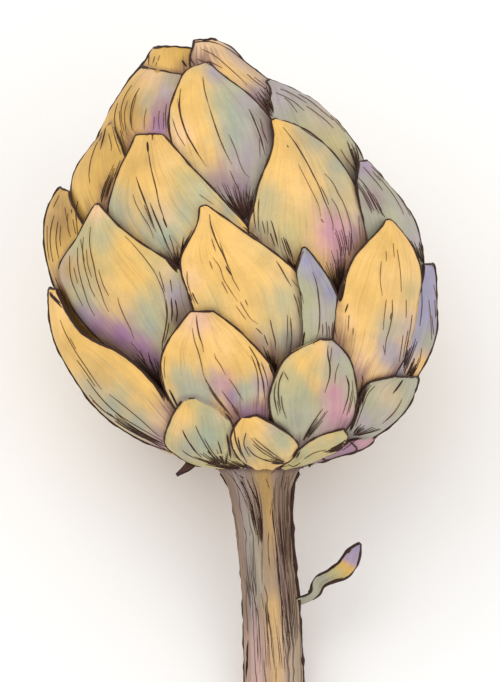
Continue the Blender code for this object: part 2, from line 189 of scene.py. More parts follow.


# The shown bracts, from the crown down. Each has its left and its right margin from foot to tip, as turns
# round the head from the shown side in degrees and heights in mm, how far it is lifted in mm, its ground
# colour, and washes laid over it: how far right of the neck and above it in mm, radius in mm, paint, and
# strength. The plum and umber washes lie mostly where a bract goes under the bracts in front: painted shade
# over the bract's own purple and brown.
Bract = namedtuple("Bract", "left right lift ground washes hidden", defaults=(False,))
SHOWN_BRACTS = (
    Bract(
        ((-50, 86), (-75, 94), (-90, 100), (-98, 105)),
        ((-16, 86), (-9, 94), (3, 100.5), (2, 105)),
        -0.9, "ochre_deep", (
        (-25.5, 102.5, 2.5, "ochre", 0.5), (-19, 101.5, 1.5, "umber", 0.35), (-27.5, 102, 1, "umber", 0.2),
    )),
    Bract(
        ((8, 79.5), (3, 87.5), (-2, 96), (-4, 101.5), (8, 106)),
        ((85, 74), (96, 84), (99, 95), (96, 103), (80, 106)),
        0.0, "beige", (
        (-9, 100.5, 3.5, "ochre", 0.9), (-14, 103, 3, "peach", 0.9), (-3.5, 97, 3, "ochre", 0.7),
        (-7, 104.5, 1.8, "lilac_grey", 0.6), (-4, 102, 2, "lilac_grey", 0.5),
        (0, 92.5, 3.5, "mauve_grey", 0.9),
        (0, 89, 2, "plum", 0.4),
    )),
    Bract(
        ((-5, 60), (-12, 71), (-24, 82), (-26, 91), (-11, 98.5), (8, 100.5)),
        ((6, 60), (17, 68), (25, 78), (26, 87), (21, 94), (15, 101)),
        1.1, "sage", (
        (-18.5, 92, 5, "ochre", 1), (-16.5, 84.5, 4.5, "ochre", 1), (-20.5, 82, 3, "peach", 0.7),
        (-12.5, 78, 3.5, "ochre", 0.8), (-15.5, 96, 2.5, "ochre", 0.8), (-9, 92.5, 3, "sage", 0.8),
        (-6, 87.5, 3.5, "teal_grey", 0.6), (-3.5, 91, 2.5, "lilac_grey", 0.7),
        (-4, 78, 4, "lilac_grey", 0.8), (-7.5, 82, 2.5, "teal_grey", 0.5), (-10.5, 71, 3, "mauve", 0.6),
        (-5.5, 69, 3, "purple", 0.5), (-4, 63.5, 2.5, "plum", 0.8), (-11.5, 99, 2, "lilac_grey", 0.9),
        (0, 83, 2, "mauve_grey", 0.6),
    )),
    Bract(
        ((-18, 58), (-26, 66), (-41, 77), (-92, 84), (-92, 93), (-84, 101)),
        ((-14, 58), (-12, 72), (-14, 82), (-18, 91), (-14, 99)),
        0.0, "ochre_deep", (
        (-28, 98, 3, "peach", 0.6), (-22.5, 98, 2.5, "sage_grey", 0.6), (-33.5, 89, 3.5, "ochre_deep", 0.6),
        (-28.5, 91, 2, "sage", 0.6), (-24, 93, 2, "lilac_grey", 0.8), (-25.5, 85.5, 2.5, "purple_light", 1),
        (-24, 89, 2, "mauve", 0.6), (-33, 89.5, 2.5, "umber", 0.35), (-35, 82, 3, "ochre_deep", 0.6),
        (-20, 97.5, 1.5, "mauve_grey", 0.5),
    )),
    Bract(
        ((31, 61), (30, 69.5), (27, 78), (26, 86.5), (32, 92), (58, 97)),
        ((84, 47), (94, 56), (96, 68), (96, 80), (92, 91), (70, 97.5)),
        0.2, "sage_grey", (
        (4.5, 93, 3, "lilac_grey", 0.9), (9.5, 92.5, 3, "lilac_grey", 0.8), (15, 88, 3, "lilac_grey", 0.8),
        (8.5, 87, 3, "sage_grey", 0.6), (18, 80.5, 4, "olive", 0.7), (12, 85, 3, "olive", 0.4),
        (22.5, 76, 2, "umber", 0.5),
    )),
    Bract(
        ((16, 33), (7, 49.5), (5, 60.5), (10, 68), (19, 79.5), (24, 87)),
        ((33, 33), (49, 51), (54, 62), (54, 74), (41, 84), (28, 87)),
        0.5, "ochre", (
        (2, 76, 5, "ochre", 0.9), (9.5, 67, 5.5, "ochre_light", 0.9), (1, 67, 3, "sage", 0.6),
        (14, 82.5, 3.5, "sage_grey", 0.8), (10, 85, 2, "sage_grey", 0.6), (19.5, 76, 3, "sage_grey", 0.9),
        (22.5, 68, 4, "sage", 0.9), (18, 66, 3, "sage_grey", 0.6), (7, 57.5, 4.5, "olive", 0.7),
        (0, 60, 3, "sage", 0.7), (17, 59, 3, "pink", 0.9), (19, 51.5, 2, "purple_light", 0.6),
        (22, 57.5, 2, "lilac", 0.7), (26.5, 63, 2.5, "lilac_grey", 0.8), (20, 46, 2, "plum", 0.6),
        (5, 54.5, 2, "sage", 0.6), (22, 67.5, 2.5, "ochre_light", 0.4), (19.5, 56.5, 2.4, "pink", 0.9),
    )),
    Bract(
        ((-40, 37), (-52, 49.5), (-60, 60), (-69, 69), (-78, 78), (-69, 86)),
        ((-29, 37), (-27, 49.5), (-27, 61), (-31, 71), (-46, 79.5), (-64, 86.5)),
        0.0, "ochre_deep", (
        (-40.5, 82, 2, "umber", 0.5), (-41.5, 76, 4.5, "ochre_deep", 0.6), (-47, 67, 3.5, "ochre", 0.8),
        (-37.5, 71, 2, "umber", 0.5), (-46, 59, 2, "ochre_deep", 0.7),
    )),
    Bract(
        ((-19, 29.5), (-28, 42), (-36, 52.5), (-43, 63), (-42, 71.5), (-43, 83.5)),
        ((-10, 29.5), (1, 41), (6, 51.5), (6, 60), (-6, 72), (-28, 83.5)),
        0.0, "ochre", (
        (-28, 78, 4.5, "ochre", 0.9), (-33.5, 74, 3.5, "ochre_deep", 0.5),
        (-23.5, 76, 3.5, "ochre_light", 0.6), (-19, 71.5, 3, "olive", 0.6), (-15, 68, 3, "sage", 0.8),
        (-37.5, 66, 3, "sage", 0.7), (-35.5, 62.5, 3, "sage_grey", 0.7), (-28, 60.5, 3, "sage_grey", 0.6),
        (-24, 57.5, 3.5, "teal_grey", 0.8), (-19, 63, 3, "sage", 0.8), (-24, 63, 2, "peach", 0.4),
        (-8, 64.5, 2.5, "sage_grey", 0.8), (-23.5, 52.5, 1.6, "plum", 0.5), (-28, 77, 3, "umber", 0.15),
    )),
    Bract(
        ((42, 34.5), (44, 44.5), (46, 56), (48, 64), (54, 71), (65, 77)),
        ((88, 24), (95, 34), (97, 44), (97, 56), (94, 66), (76, 77)),
        0.0, "sage_grey", (
        (26, 75, 2, "lilac", 0.8), (30.5, 69, 2.5, "sage_grey", 0.8), (35, 65, 2, "lilac_grey", 0.8),
        (32.5, 63, 2, "sage", 0.6), (38.5, 57, 2, "lilac_grey", 0.8), (27.5, 67, 2, "mauve", 0.6),
    )),
    Bract(
        ((-72, 22), (-84, 30), (-96, 42), (-97, 54), (-95, 64), (-82, 70.5)),
        ((-44, 24.5), (-47, 34.5), (-49, 44.5), (-50, 53), (-54, 61.5), (-68, 69.5)),
        0.0, "ochre_deep", (
        (-52, 64, 2, "ochre", 0.5), (-50.5, 61, 3, "umber", 0.5), (-53.5, 56.5, 2, "ochre_deep", 0.5),
        (-50, 66, 2, "umber", 0.3),
    )),
    Bract(
        ((-40, 11), (-54, 27), (-71, 41), (-73, 48), (-56, 57), (-48, 66)),
        ((-19, 11), (-15, 27), (-16, 39), (-18, 49), (-31, 57), (-46, 66)),
        0.0, "olive", (
        (-41, 64, 2, "peach", 0.8), (-45.5, 54, 3, "sage", 0.6), (-50, 49, 3, "lilac_grey", 0.8),
        (-42.5, 52.5, 2, "ochre_deep", 0.6), (-39, 57, 2.5, "sage", 0.7), (-34, 54.5, 3, "ochre", 0.8),
        (-32, 47.5, 4, "ochre", 0.9), (-36, 41, 3.5, "ochre", 0.6), (-43, 41.5, 3, "sage_grey", 0.7),
        (-29, 39, 3, "sage", 0.7), (-27.5, 35, 2, "teal_grey", 0.6), (-41, 35.5, 2.5, "purple_light", 0.8),
        (-35, 33, 3, "purple_light", 0.9), (-30, 30, 2.5, "purple_light", 0.8),
        (-27, 26.5, 2.5, "purple", 0.7),
        (-45, 37.5, 2, "lilac", 0.8), (-21.5, 43, 2.5, "lilac_grey", 0.9), (-24, 49.5, 1.5, "peach", 0.4),
        (-25, 22.5, 2, "plum", 0.8), (-48, 49.5, 2.2, "ochre_deep", 0.6), (-48, 49.5, 2.2, "umber", 0.2),
        (-39, 45, 2.5, "ochre_light", 0.45),
        (-21, 37, 2, "plum", 0.6),
    )),
    Bract(
        ((-1, 11), (-12, 28), (-16, 41), (-17, 51.5), (-11, 60), (-9, 65)),
        ((15, 11), (20, 29.5), (20, 41.5), (17, 49), (3, 59), (-7, 65.5)),
        0.6, "ochre_light", (
        (-12, 59, 5, "ochre", 0.6), (-14, 52.5, 3.5, "ochre", 0.8), (-8.5, 46.5, 4.5, "ochre", 0.8),
        (-18, 46.5, 2, "peach", 0.5), (1, 53, 3, "olive", 0.5), (-1.5, 48, 3, "ochre", 0.6),
        (5.5, 42, 3, "sage", 0.7), (1.5, 36.5, 3, "olive", 0.6), (-3.5, 36.5, 3, "ochre", 0.5),
        (6.5, 32, 3, "sage_grey", 0.9), (12, 42, 3, "sage", 0.9), (12, 34, 2, "lilac_grey", 0.7),
        (-12, 41, 2.5, "olive", 0.5), (-0.5, 31, 2, "mauve_grey", 0.5), (2.5, 28, 1.6, "plum", 0.5),
    )),
    Bract(
        ((36, 7), (29, 21), (28, 32), (30, 42), (37, 53), (55, 62)),
        ((72, 6), (62, 18), (65, 29.5), (69, 41), (66, 52.5), (58, 62)),
        0.5, "ochre_light", (
        (26, 44.5, 5.5, "ochre", 0.9), (32, 56.5, 4, "ochre", 0.9), (23.5, 34, 3, "ochre", 0.9),
        (31.5, 46.5, 3, "ochre_light", 0.7), (37, 44, 2, "olive", 0.6), (36, 34, 3, "lilac_grey", 0.6),
        (31, 34.5, 2.5, "sage_grey", 0.7), (31, 28.5, 2.4, "blue_lilac", 0.7),
        (26, 30, 2, "ochre_light", 0.7),
        (21.5, 36, 2, "peach", 0.4),
        (33, 27.5, 2, "lilac_grey", 0.8), (24.5, 27.5, 2, "peach", 0.5), (23.5, 23.5, 2, "mauve", 0.6),
    )),
    Bract(
        ((22, 9.5), (19, 19.5), (18, 32), (18, 42), (17, 49), (20, 55)),
        ((31, 9.5), (30, 21), (30, 33), (30, 42.5), (25, 50), (21, 55)),
        0.0, "sage", (
        (11, 51.5, 2, "blue_lilac", 0.9), (17, 44, 2, "blue_lilac", 0.9), (14, 48.5, 2, "blue_lilac", 0.8),
        (15, 39, 2, "lilac_grey", 0.6), (17, 34, 2, "mauve_grey", 0.6), (10.5, 42, 2, "sage", 0.9),
    )),
    Bract(
        ((58, 9.5), (60, 17), (61, 26), (64, 34.5), (67, 43), (73, 51)),
        ((80, 4), (94, 11), (97, 20), (97, 31), (96, 42), (91, 51)),
        0.0, "blue_lilac", (
        (42, 42, 2.5, "blue_lilac", 0.8), (41.5, 31.5, 2, "sage_grey", 0.8), (40.5, 25.5, 2, "ochre", 0.9),
        (38, 22, 2, "ochre", 0.9),
    )),
    Bract(
        ((-62, 1.5), (-92, 6), (-97, 15), (-97, 27), (-95, 38), (-84, 45)),
        ((-27, 1.5), (-29, 9.5), (-32, 18), (-42, 27.5), (-60, 34), (-74, 44.5)),
        0.3, "ochre", (
        (-49, 40, 2.5, "ochre_light", 0.8), (-47, 29.5, 3, "ochre_deep", 0.6),
        (-37.5, 26, 4.5, "ochre", 0.9), (-30, 21, 4.5, "ochre", 0.9), (-24, 14, 2, "peach", 0.8),
        (-42.5, 20, 3, "sage_grey", 0.7), (-37.5, 15, 3, "sage_grey", 0.9),
        (-31, 10.5, 3, "sage_grey", 0.9), (-26, 8.5, 2, "mauve_grey", 0.7), (-35, 18, 2, "sage", 0.5),
        (-25.5, 5, 2, "mauve", 0.7), (-41, 24.5, 2.5, "ochre_deep", 0.5),
    )),
    Bract(
        ((-20, 1.5), (-28, 7.5), (-30, 15), (-30, 22.5), (-26, 30), (-16, 39)),
        ((-1, 1.5), (6, 7.5), (7, 15), (8, 24), (-1, 33.5), (-9, 39)),
        0.4, "ochre", (
        (-15.5, 37, 2.5, "peach_pink", 0.9), (-19.5, 33, 2.5, "peach", 0.5), (-20.5, 29, 3, "ochre", 0.8),
        (-15, 24.5, 3, "ochre", 0.6), (-9, 31, 3, "ochre_light", 0.9), (-4, 26, 3, "ochre", 0.7),
        (-20.5, 23, 2, "sage", 0.7), (-18, 19, 3, "sage_grey", 0.9), (-12, 21, 2, "mauve_grey", 0.6),
        (-10, 21, 2, "pink", 0.7), (-7, 18, 2, "purple_light", 0.9), (-4, 14, 2, "purple", 0.8),
        (-3, 20, 2, "sage", 0.8), (0.5, 21, 2, "lilac", 0.7), (-0.5, 14, 2, "purple_light", 0.7),
        (-15.5, 17.5, 3, "sage_grey", 1), (-4.5, 18.5, 1.8, "teal_grey", 0.5),
    )),
    Bract(
        ((27, 1), (14, 6), (8, 12), (7, 19), (12, 27.5), (23, 32)),
        ((50, 1), (48, 5), (45, 11), (40, 19), (34, 27), (27, 32)),
        0.4, "sage", (
        (14, 29.5, 2, "ochre_light", 0.9), (9.5, 25.5, 3, "ochre", 0.9), (13, 20.5, 2, "ochre", 0.7),
        (7, 21.5, 2, "sage", 0.7), (9.5, 18, 2.5, "sage", 0.9), (18.5, 29, 2, "lilac_grey", 0.8),
        (20, 24.5, 2, "sage_grey", 0.7), (18, 19, 2, "pink", 0.9), (18, 13.5, 2.5, "pink", 0.9),
        (21, 12.5, 2, "pink", 0.7), (9, 12, 3, "sage_grey", 0.8), (16, 9, 2, "mauve", 0.6),
        (7, 21.5, 2, "olive", 0.5),
    )),
    Bract(
        ((52, 1), (48, 5), (44, 9.5), (43, 15), (45, 21), (58, 22.5)),
        ((58, 1.5), (74, 3), (90, 6), (98, 11), (92, 17), (82, 22.5)),
        0.0, "sage_grey", (
        (28, 17, 3, "sage", 0.6), (33, 18, 2, "olive", 0.5), (25, 11.5, 2, "lilac_grey", 0.8),
        (31, 12, 2, "lilac_grey", 0.5), (31, 18.5, 2.2, "beige", 0.5),
    )),
    Bract(
        ((-37, 0.5), (-90, 1), (-65, 4), (-41, 9.5), (-24, 17.5)),
        ((-14, 0.5), (-10, 4), (-8, 9.5), (-10, 14.5), (-18, 18)),
        0.9, "olive", (
        (-19, 14, 2.5, "ochre", 0.9), (-20.5, 9.5, 2, "ochre_light", 0.7), (-12, 11, 3, "sage", 0.8),
        (-14, 7, 3, "teal_grey", 0.7), (-19, 4.5, 2, "sage_grey", 0.8), (-10, 14, 1.5, "peach", 0.4),
    )),
    Bract(
        ((-6, 0.5), (-12, 2), (-12, 6), (-8, 10.5), (-4, 13)),
        ((17, 0.5), (28, 2), (25, 5.5), (13, 10), (2, 13.5)),
        1.1, "ochre_light", (
        (-3.5, 10, 3, "ochre", 0.9), (3.5, 9.5, 2, "lilac_grey", 0.6), (5, 7, 2.5, "sage", 0.9),
        (1, 4, 2, "olive", 0.7), (-4, 4, 2, "sage_grey", 0.7),
    )),
    Bract(
        ((24, 0.5), (29, 2), (26, 5), (30, 8.5), (42, 10)),
        ((36, 0.5), (52, 1), (58, 3), (55, 5), (50, 8)),
        1.0, "olive", (
        (13.5, 7, 2, "ochre", 0.8), (17, 9, 2, "ochre", 0.7), (10.5, 4, 2, "sage", 0.6),
        (19, 7, 1.5, "sage", 0.6), (14.5, 6, 2, "sage", 0.6),
    )),
    Bract(
        ((49, 1), (53, 3.5), (54, 6.5), (68, 8)),
        ((60, 1), (92, 2), (104, 4.5), (96, 8)),
        0.4, "mauve", (
        (22, 5.5, 2, "purple_light", 0.8), (26, 7, 2, "pink", 0.7),
    )),
)  # fmt: skip

# Where the ink of a margin fades: how far right of the neck and above it, and radius
BARE_SPOTS = ((9.2, 46, 2.2), (10, 42, 2.4), (10.6, 38, 2.4), (10.8, 34, 2.4), (10.8, 30, 2.4))

# Veins of the shown side. Each has its width in mm and points in quarter millimetres, right of and down from
# a corner beside the crown. A fan has its number of lines before the width, and its first and last line; the
# fans are hatching, painted shade in the corners between the bracts.
VEINS_CORNER = (-65.5, 117.0)
HEAD_VEINS_AND_SHADE = """
.35 155,57 153,64; .3 160,56 158,62; .3 157,63 156,67; .6 182,61 187,68; .5 189,64 191,68
.5 193,50 190,56 192,62 196,67; .9 176,47 186,45 195,43 205,42 214,43 222,46
.5 150,48 157,46 168,48 178,46; .5 150,50 149,58 149,66; .5 222,46 232,52 242,60 252,68 262,75 269,80
.35 202,50 214,56 227,67 239,78 247,86; .4 197,60 205,63 213,68 222,75; .3 209,62 222,69
.35 247,75 256,83 266,90; .3 254,78 267,88; .4 258,93 266,103 273,114; .4 260,90 268,100 273,110
.35 257,99 266,110 273,118; .4 263,88 269,96; 7*.4 254,96 264,108 272,118 > 266,86 270,98 274,112
.45 140,89 135,98 132,108 131,120 133,132; .35 132,86 126,96 122,108 122,120 125,133
.35 128,102 125,115 126,128 128,137; .3 120,112 121,124 124,136; .4 117,133 121,144 124,154
.35 121,131 124,142 127,150; .3 113,128 117,143 122,156; .3 160,112 159,122 160,131; .3 164,114 164,131
.35 167,105 166,118 167,134; .25 147,110 145,120 145,131; .3 155,118 154,131
.4 118,104 115,118 117,132 121,146; .3 137,96 133,112 132,128; .3 170,112 168,124 170,138
.5 181,90 180,105 182,120 187,135 194,148 200,158 207,168; .35 178,100 181,118 188,138 197,153
.35 203,78 205,92 209,107; .4 209,107 213,120 218,135 224,150 232,166
.3 229,136 235,150 240,165 245,175 250,179; .5 249,111 254,122 260,138 265,157
.4 260,120 263,133 268,146; .25 259,140 260,160; .3 173,120 178,135 186,148
9*.5 212,184 226,204 243,223 > 256,186 252,204 250,218
7*.55 222,196 234,210 246,224 > 253,196 251,208 250,220; .4 246,192 249,205 250,220
.3 230,172 238,190 246,208; .7 148,143 149,154; .4 149,152 152,170 157,190 160,205 165,220 168,229
.4 153,135 153,142; .5 137,178 141,190 146,203 151,217 157,233
.3 134,196 137,205 143,216 150,227 155,240; .5 151,204 156,217 162,231 168,246 173,256
.6 164,219 168,229; .3 145,206 150,218 155,230; .25 200,196 214,206
9*.55 158,250 168,262 178,274 > 180,246 180,258 179,271
7*.45 184,238 182,252 179,266 > 196,228 187,244 180,262; .35 121,162 115,178 108,196
5*.4 114,166 106,184 101,202 > 120,166 112,186 106,206; .35 170,236 174,248 177,262
.3 100,204 106,211 112,219; .35 254,205 254,218 256,231; .35 259,200 258,215 259,233; .3 262,222 265,235
.3 267,222 268,236; .45 271,222 275,236 278,248; .35 270,234 275,248; .4 283,238 286,248 290,258
.5 285,240 289,250 293,262; .35 281,239 286,255 291,266
5*.55 281,254 289,265 294,273 > 298,262 297,268 295,273; .35 280,90 288,93 297,98 306,104
.35 276,94 285,98 295,104 304,112; .3 284,99 290,104 297,114; .35 298,95 310,102 322,112 333,121
.35 306,107 316,114 326,122 333,129; .25 330,116 338,125 345,133; .45 293,124 300,129 310,136 322,144
.45 283,129 290,138 297,148 303,158 308,167 313,177 318,187 323,200 328,212 332,225 332,231
.3 300,153 306,163 312,175; .3 320,188 325,198 328,206
.25 298,166 303,176 308,186 313,196 318,207 320,218; .4 320,220 323,224; .5 287,147 288,149
.35 324,175 332,184 338,196 343,205 347,216 350,228 351,240 353,250
.35 331,200 336,208 340,220 343,232 345,244 348,254
5*.35 332,230 337,243 340,258 > 350,230 351,243 350,256; .25 358,217 358,224 359,240
11*.6 318,262 328,280 339,304 > 351,258 345,280 341,302
6*.4 330,250 335,268 339,290 > 347,246 344,266 341,290
6*.45 346,140 351,156 357,172 > 354,142 358,156 359,172; .5 345,158 350,165 357,174
4*.35 352,180 362,195 371,214 > 364,182 374,198 384,217; .45 357,178 365,187 373,200 384,218
.3 340,150 346,160 353,169; .4 363,168 369,175 376,183 382,191; .4 371,167 378,174 384,180
.3 377,176 385,186 393,196 400,208 403,215; .25 372,172 380,182
9*.5 409,241 413,251 419,266 > 424,242 427,252 427,262; .5 424,240 426,250 427,260
.25 392,188 402,202 410,216; .25 385,252 385,262; .3 392,244 393,258; .5 347,304 344,313
.35 348,315 347,331; .3 352,328 352,335; .4 391,300 391,315 388,330 385,340 384,352; .45 390,313 389,320
.3 385,300 383,318 382,330; .25 382,345 384,355; .35 402,335 400,350 398,362; .3 405,300 405,318
.3 411,315 409,330 405,348; .3 407,330 404,345 402,358
5*.4 409,334 405,350 402,368 > 417,340 411,356 404,374
6*.5 357,376 358,392 357,410 > 371,383 365,393 361,405; .4 361,375 362,382 358,395
.25 396,250 399,272 400,292; .25 380,262 379,280 381,296; .4 421,292 421,308 419,326
.3 433,285 436,300 436,316; .3 431,316 433,335; .3 421,348 419,362
6*.5 413,356 409,367 405,376 > 420,358 415,370 409,379; .25 428,300 430,320 431,340; .3 434,300 435,318
.9 402,380 397,387 392,393; .35 401,399 397,407 390,416 382,423; .25 398,405 393,412 385,420
6*.4 362,419 357,426 352,434 > 380,429 366,433 354,436; .3 374,386 368,392 364,400
.4 365,398 360,412 355,426; .5 327,345 327,355 329,365 329,375 327,383 324,392
.3 331,347 330,356 329,362; .45 283,371 279,381 278,392 279,402 281,410
.4 276,381 274,392 275,402 278,415; .35 281,395 282,405 286,418; .3 277,400 280,413
.3 338,363 335,372 334,383; .5 345,375 348,385 347,397 344,407 342,413; .3 351,380 352,395 348,412
.3 351,390 349,403 346,415; .4 322,408 314,420 304,438
4*.35 319,411 310,425 302,440 > 329,410 318,425 307,438
7*.55 353,396 354,412 349,430 > 359,395 358,410 351,431; .3 284,372 288,380
.45 197,316 198,326 200,336 203,345 204,352; .35 193,328 195,340 199,352 202,364 204,374 207,382
.25 215,353 216,358 221,365 226,375; .45 205,377 210,386 216,395 223,404 229,412 233,418
.4 209,387 217,399 226,410; .35 222,390 230,401 238,411 240,418; .4 232,405 237,412 240,418
.3 229,378 236,388 243,400; .35 251,355 256,368 258,380 258,392 258,404
.45 256,358 260,370 263,382 264,392 265,401; .35 261,362 266,376 268,388; .4 249,346 255,356 260,366
.8 170,389 174,397 179,408; .25 166,356 165,368 166,378
10*.6 262,345 267,358 272,374 > 280,360 277,368 274,378; .4 234,409 238,415; .35 213,392 221,403 229,413
.4 312,273 316,285 318,300 319,315 318,330 315,340 313,345; .4 325,322 326,330 326,339
.45 332,322 331,332 332,341; .3 328,326 329,338; .3 322,324 322,336; .3 335,312 334,326 336,338
.35 303,252 300,260 297,270; .45 210,216 211,225 214,235 218,245 222,253 226,262 228,268
.3 220,243 224,255 228,266 231,273 234,282; .45 226,267 229,272 233,278
.25 213,258 220,268 224,280 230,290 238,302; .25 232,278 240,292; .25 240,302 250,318 258,324
.3 245,300 248,306; .35 256,328 262,334; .35 188,272 188,282 190,290 193,298 196,305
.5 193,293 196,300 199,305; .3 190,294 193,302; .4 276,262 281,270 286,279 291,287
.35 293,294 297,306 299,318; .25 297,297 302,315; .25 291,280 300,292 303,304
.4 270,320 272,330 275,342 275,350; .3 287,315 287,330 286,350; .4 290,318 291,335 290,348 288,357
.5 304,332 303,340 302,347; .4 264,335 268,346; .4 243,228 252,235 262,243; .3 212,240 216,252
.25 222,282 228,294; .25 236,306 246,320; .3 210,262 213,270; .6 106,129 104,138 101,150
.45 98,143 94,153 91,165 90,176 91,184; .3 109,134 112,146 112,152; .45 79,202 77,213 78,225 79,236
.4 72,210 73,214; .35 69,214 69,228 72,238; .35 74,220 77,235; .35 66,208 68,222; .4 103,132 100,142
.5 55,216 52,228 51,240 52,252 54,262; .45 59,222 57,238 58,250 60,259; .35 62,226 61,238 62,247
.35 48,226 48,244 50,260; .35 60,196 54,208
.45 92,228 91,240 92,252 95,265 98,280 102,292 106,304 110,312
.4 85,238 84,250 85,262 88,275 92,288 96,297; .4 79,248 79,262 81,275 85,290 90,305 96,316
.3 82,240 84,252 86,262; .4 71,256 71,270 73,282 78,294 84,306; .3 88,250 89,264 93,278
.35 56,278 60,288 63,296; .35 119,298 121,306 126,318 131,328 135,338
.3 126,237 132,243 140,252 148,262 155,272 160,282 165,295 167,310 168,320; .35 160,272 163,282 166,293
.35 171,280 173,293; .5 172,298 173,312 172,322; .5 176,300 178,312 177,322
.45 167,300 168,315 166,330 163,345 163,355; .35 170,322 168,333 165,343; .3 100,270 104,284 110,296
.3 75,268 79,284; .3 132,342 140,352 148,362; 12*.6 116,350 136,364 160,390 > 162,358 163,374 168,398
6*.6 136,362 150,378 166,402 > 160,372 163,386 170,402; .5 141,350 147,365 155,380 162,393
.5 149,352 153,365 160,380 165,392; .3 100,336 112,344 124,352; .3 84,326 98,338 112,346
.4 61,320 65,330 70,340 77,352 85,364 93,376 100,386 103,389; .3 71,338 77,349
.45 88,379 95,389 103,399 113,409 125,418 138,426 150,433 164,441
.4 110,394 118,400 128,408 140,418 152,429 160,436; .4 90,395 97,403 108,413 120,420
.35 93,400 105,411 118,419; .4 112,408 125,420 140,432 155,441 168,447; .5 138,432 150,439 165,446
.35 78,360 88,374 96,386; .6 50,292 56,298 62,304; .6 132,430 148,439 166,449
5*.4 100,408 120,424 150,441 > 120,416 140,430 166,444; .9 50,294 57,301 63,308
.6 183,429 186,436 191,444 196,451 202,457; .4 196,425 200,434 206,445 212,454 217,460
.45 218,440 221,450 223,460; .7 227,433 229,445 231,458; .4 183,450 190,455 200,459 210,462
10*.6 190,456 205,461 222,466 > 231,444 229,455 226,465; .6 208,450 215,458 222,466
.5 198,458 210,463 222,467; .4 205,438 211,449 218,458; .4 251,437 258,445 268,452 278,459 288,462
.4 254,437 262,444 272,452 284,460; .4 253,443 262,451 274,458 284,462
.5 247,446 254,454 264,459 276,462 284,463; 5*.5 262,459 274,463 286,463 > 278,455 284,460 288,463
.4 246,432 244,444 250,456; .5 234,424 236,440 242,456; .5 238,436 241,450 247,462
5*.45 290,460 294,452 298,446 > 294,462 298,455 301,448
6*.45 324,450 336,445 348,437 > 322,453 336,450 350,441; .4 352,438 344,445 336,451
.4 358,437 350,444 342,450; .3 304,458 314,452 326,449
8*.5 206,464 226,468 244,472 > 228,455 240,463 252,470; .5 246,468 258,472 270,473
.4 262,470 276,468 288,465; .4 288,464 294,466 300,462"""
# The stem's veins, with fans of hatching that are painted shade below the head and down its right half
STEM_VEINS_AND_SHADE = """
.7 235,472 243,484 249,498 253,512 256,525 257,537; .6 246,478 252,490 257,502 259,515
.7 252,478 256,490 259,505 261,520 262,535 262,548; .4 262,548 262,565 262,585
.6 274,486 273,500 273,515 275,535 277,555 279,575 281,595 284,610 287,622 291,636
.5 279,508 280,525 282,545 284,560 286,580 289,600 291,625; .5 284,470 282,480 281,490
.6 287,476 284,492; .5 289,475 287,495 287,510; .4 291,490 289,510 289,530; .4 286,505 287,522 288,540
.4 269,530 268,545 269,560 271,572; .45 250,565 252,580 254,595 256,610 256,625
.35 247,566 250,585 253,600; .4 254,600 258,615 259,633 259,650; .3 261,592 264,610
.5 267,604 269,620 271,635 272,650 274,665; .5 265,602 267,625 268,645 268,665
.7 281,595 282,615 283,640 284,655; .4 284,655 285,672; .8 248,640 247,660 246,682; .4 276,665 276,682
.5 228,472 238,486 245,500 250,514; .4 240,474 247,488; .4 266,478 270,490; .35 250,530 250,536
.4 259,515 258,532 259,550; .4 270,474 276,470 284,468; .4 276,556 278,575 282,592; .3 272,500 270,515
.35 292,560 296,580 297,600; .35 289,628 290,650; .5 233,470 240,476 246,478
.45 350,551 346,560 342,571 339,579; .35 345,553 342,563 340,572; .3 314,584 313,592
7*.5 232,472 246,498 256,535 > 256,474 262,505 263,545
9*.45 274,478 275,520 283,570 > 292,474 291,520 291,575
7*.45 276,560 281,600 290,660 > 292,540 296,590 298,640
5*.4 255,600 257,630 258,665 > 276,590 284,640 288,675
5*.35 243,540 246,575 250,610 > 254,540 256,575 257,600; .4 350,549 346,560 341,575"""
# Lengths in mm. A vein is broken where it would jump farther than VEIN_JUMP from one step to the next.
VEIN_STEP = 0.6
VEIN_HEIGHT = 0.15
VEIN_LIFT = 0.05
VEIN_JUMP = 2.2
VEIN_SIDES = 4
RAY_START = -200.0
# Shares of the stated widths and of the stated number in a fan, and how much of a width comes and goes
VEIN_WIDTH = 0.8
FAN_WIDTH = 0.55
FAN_DENSITY = 1.7
VEIN_ROUGHNESS = 0.28
# A vein's share of its width at its start, where along it is full, where it thins again, and what it loses
VEIN_TAPER = (0.3, 0.2, 0.65, 0.8)
FAN_TAPER = (0.15, 0.6, 0.75, 0.6)
# How strong the ink is: veins this thin are faint, and full ink is this much wider
FAINT_WIDTH = 0.16
FAINT_RANGE = 0.3
FAN_STRENGTH = 0.85

# Dark cords along the margins, in mm. They are thicker at the plant's sides: by nothing at the first of two
# distances from its middle plane, and by the whole gain at the second.
CORD_RADIUS = 0.27
STEM_CORD_RADIUS = 0.42
CORD_STEP = 0.5
CORD_SIDES = 6
CORD_ROUGHNESS = 0.38
CORD_STRENGTH = 0.9
CORD_END = 0.3
SIDE_CORD_GAIN = 0.7
SIDE_DEPTHS = (11, 4)
BARE_LOSS = 0.7
LEAST_GAP = 0.15
EVENING_ROWS = 4

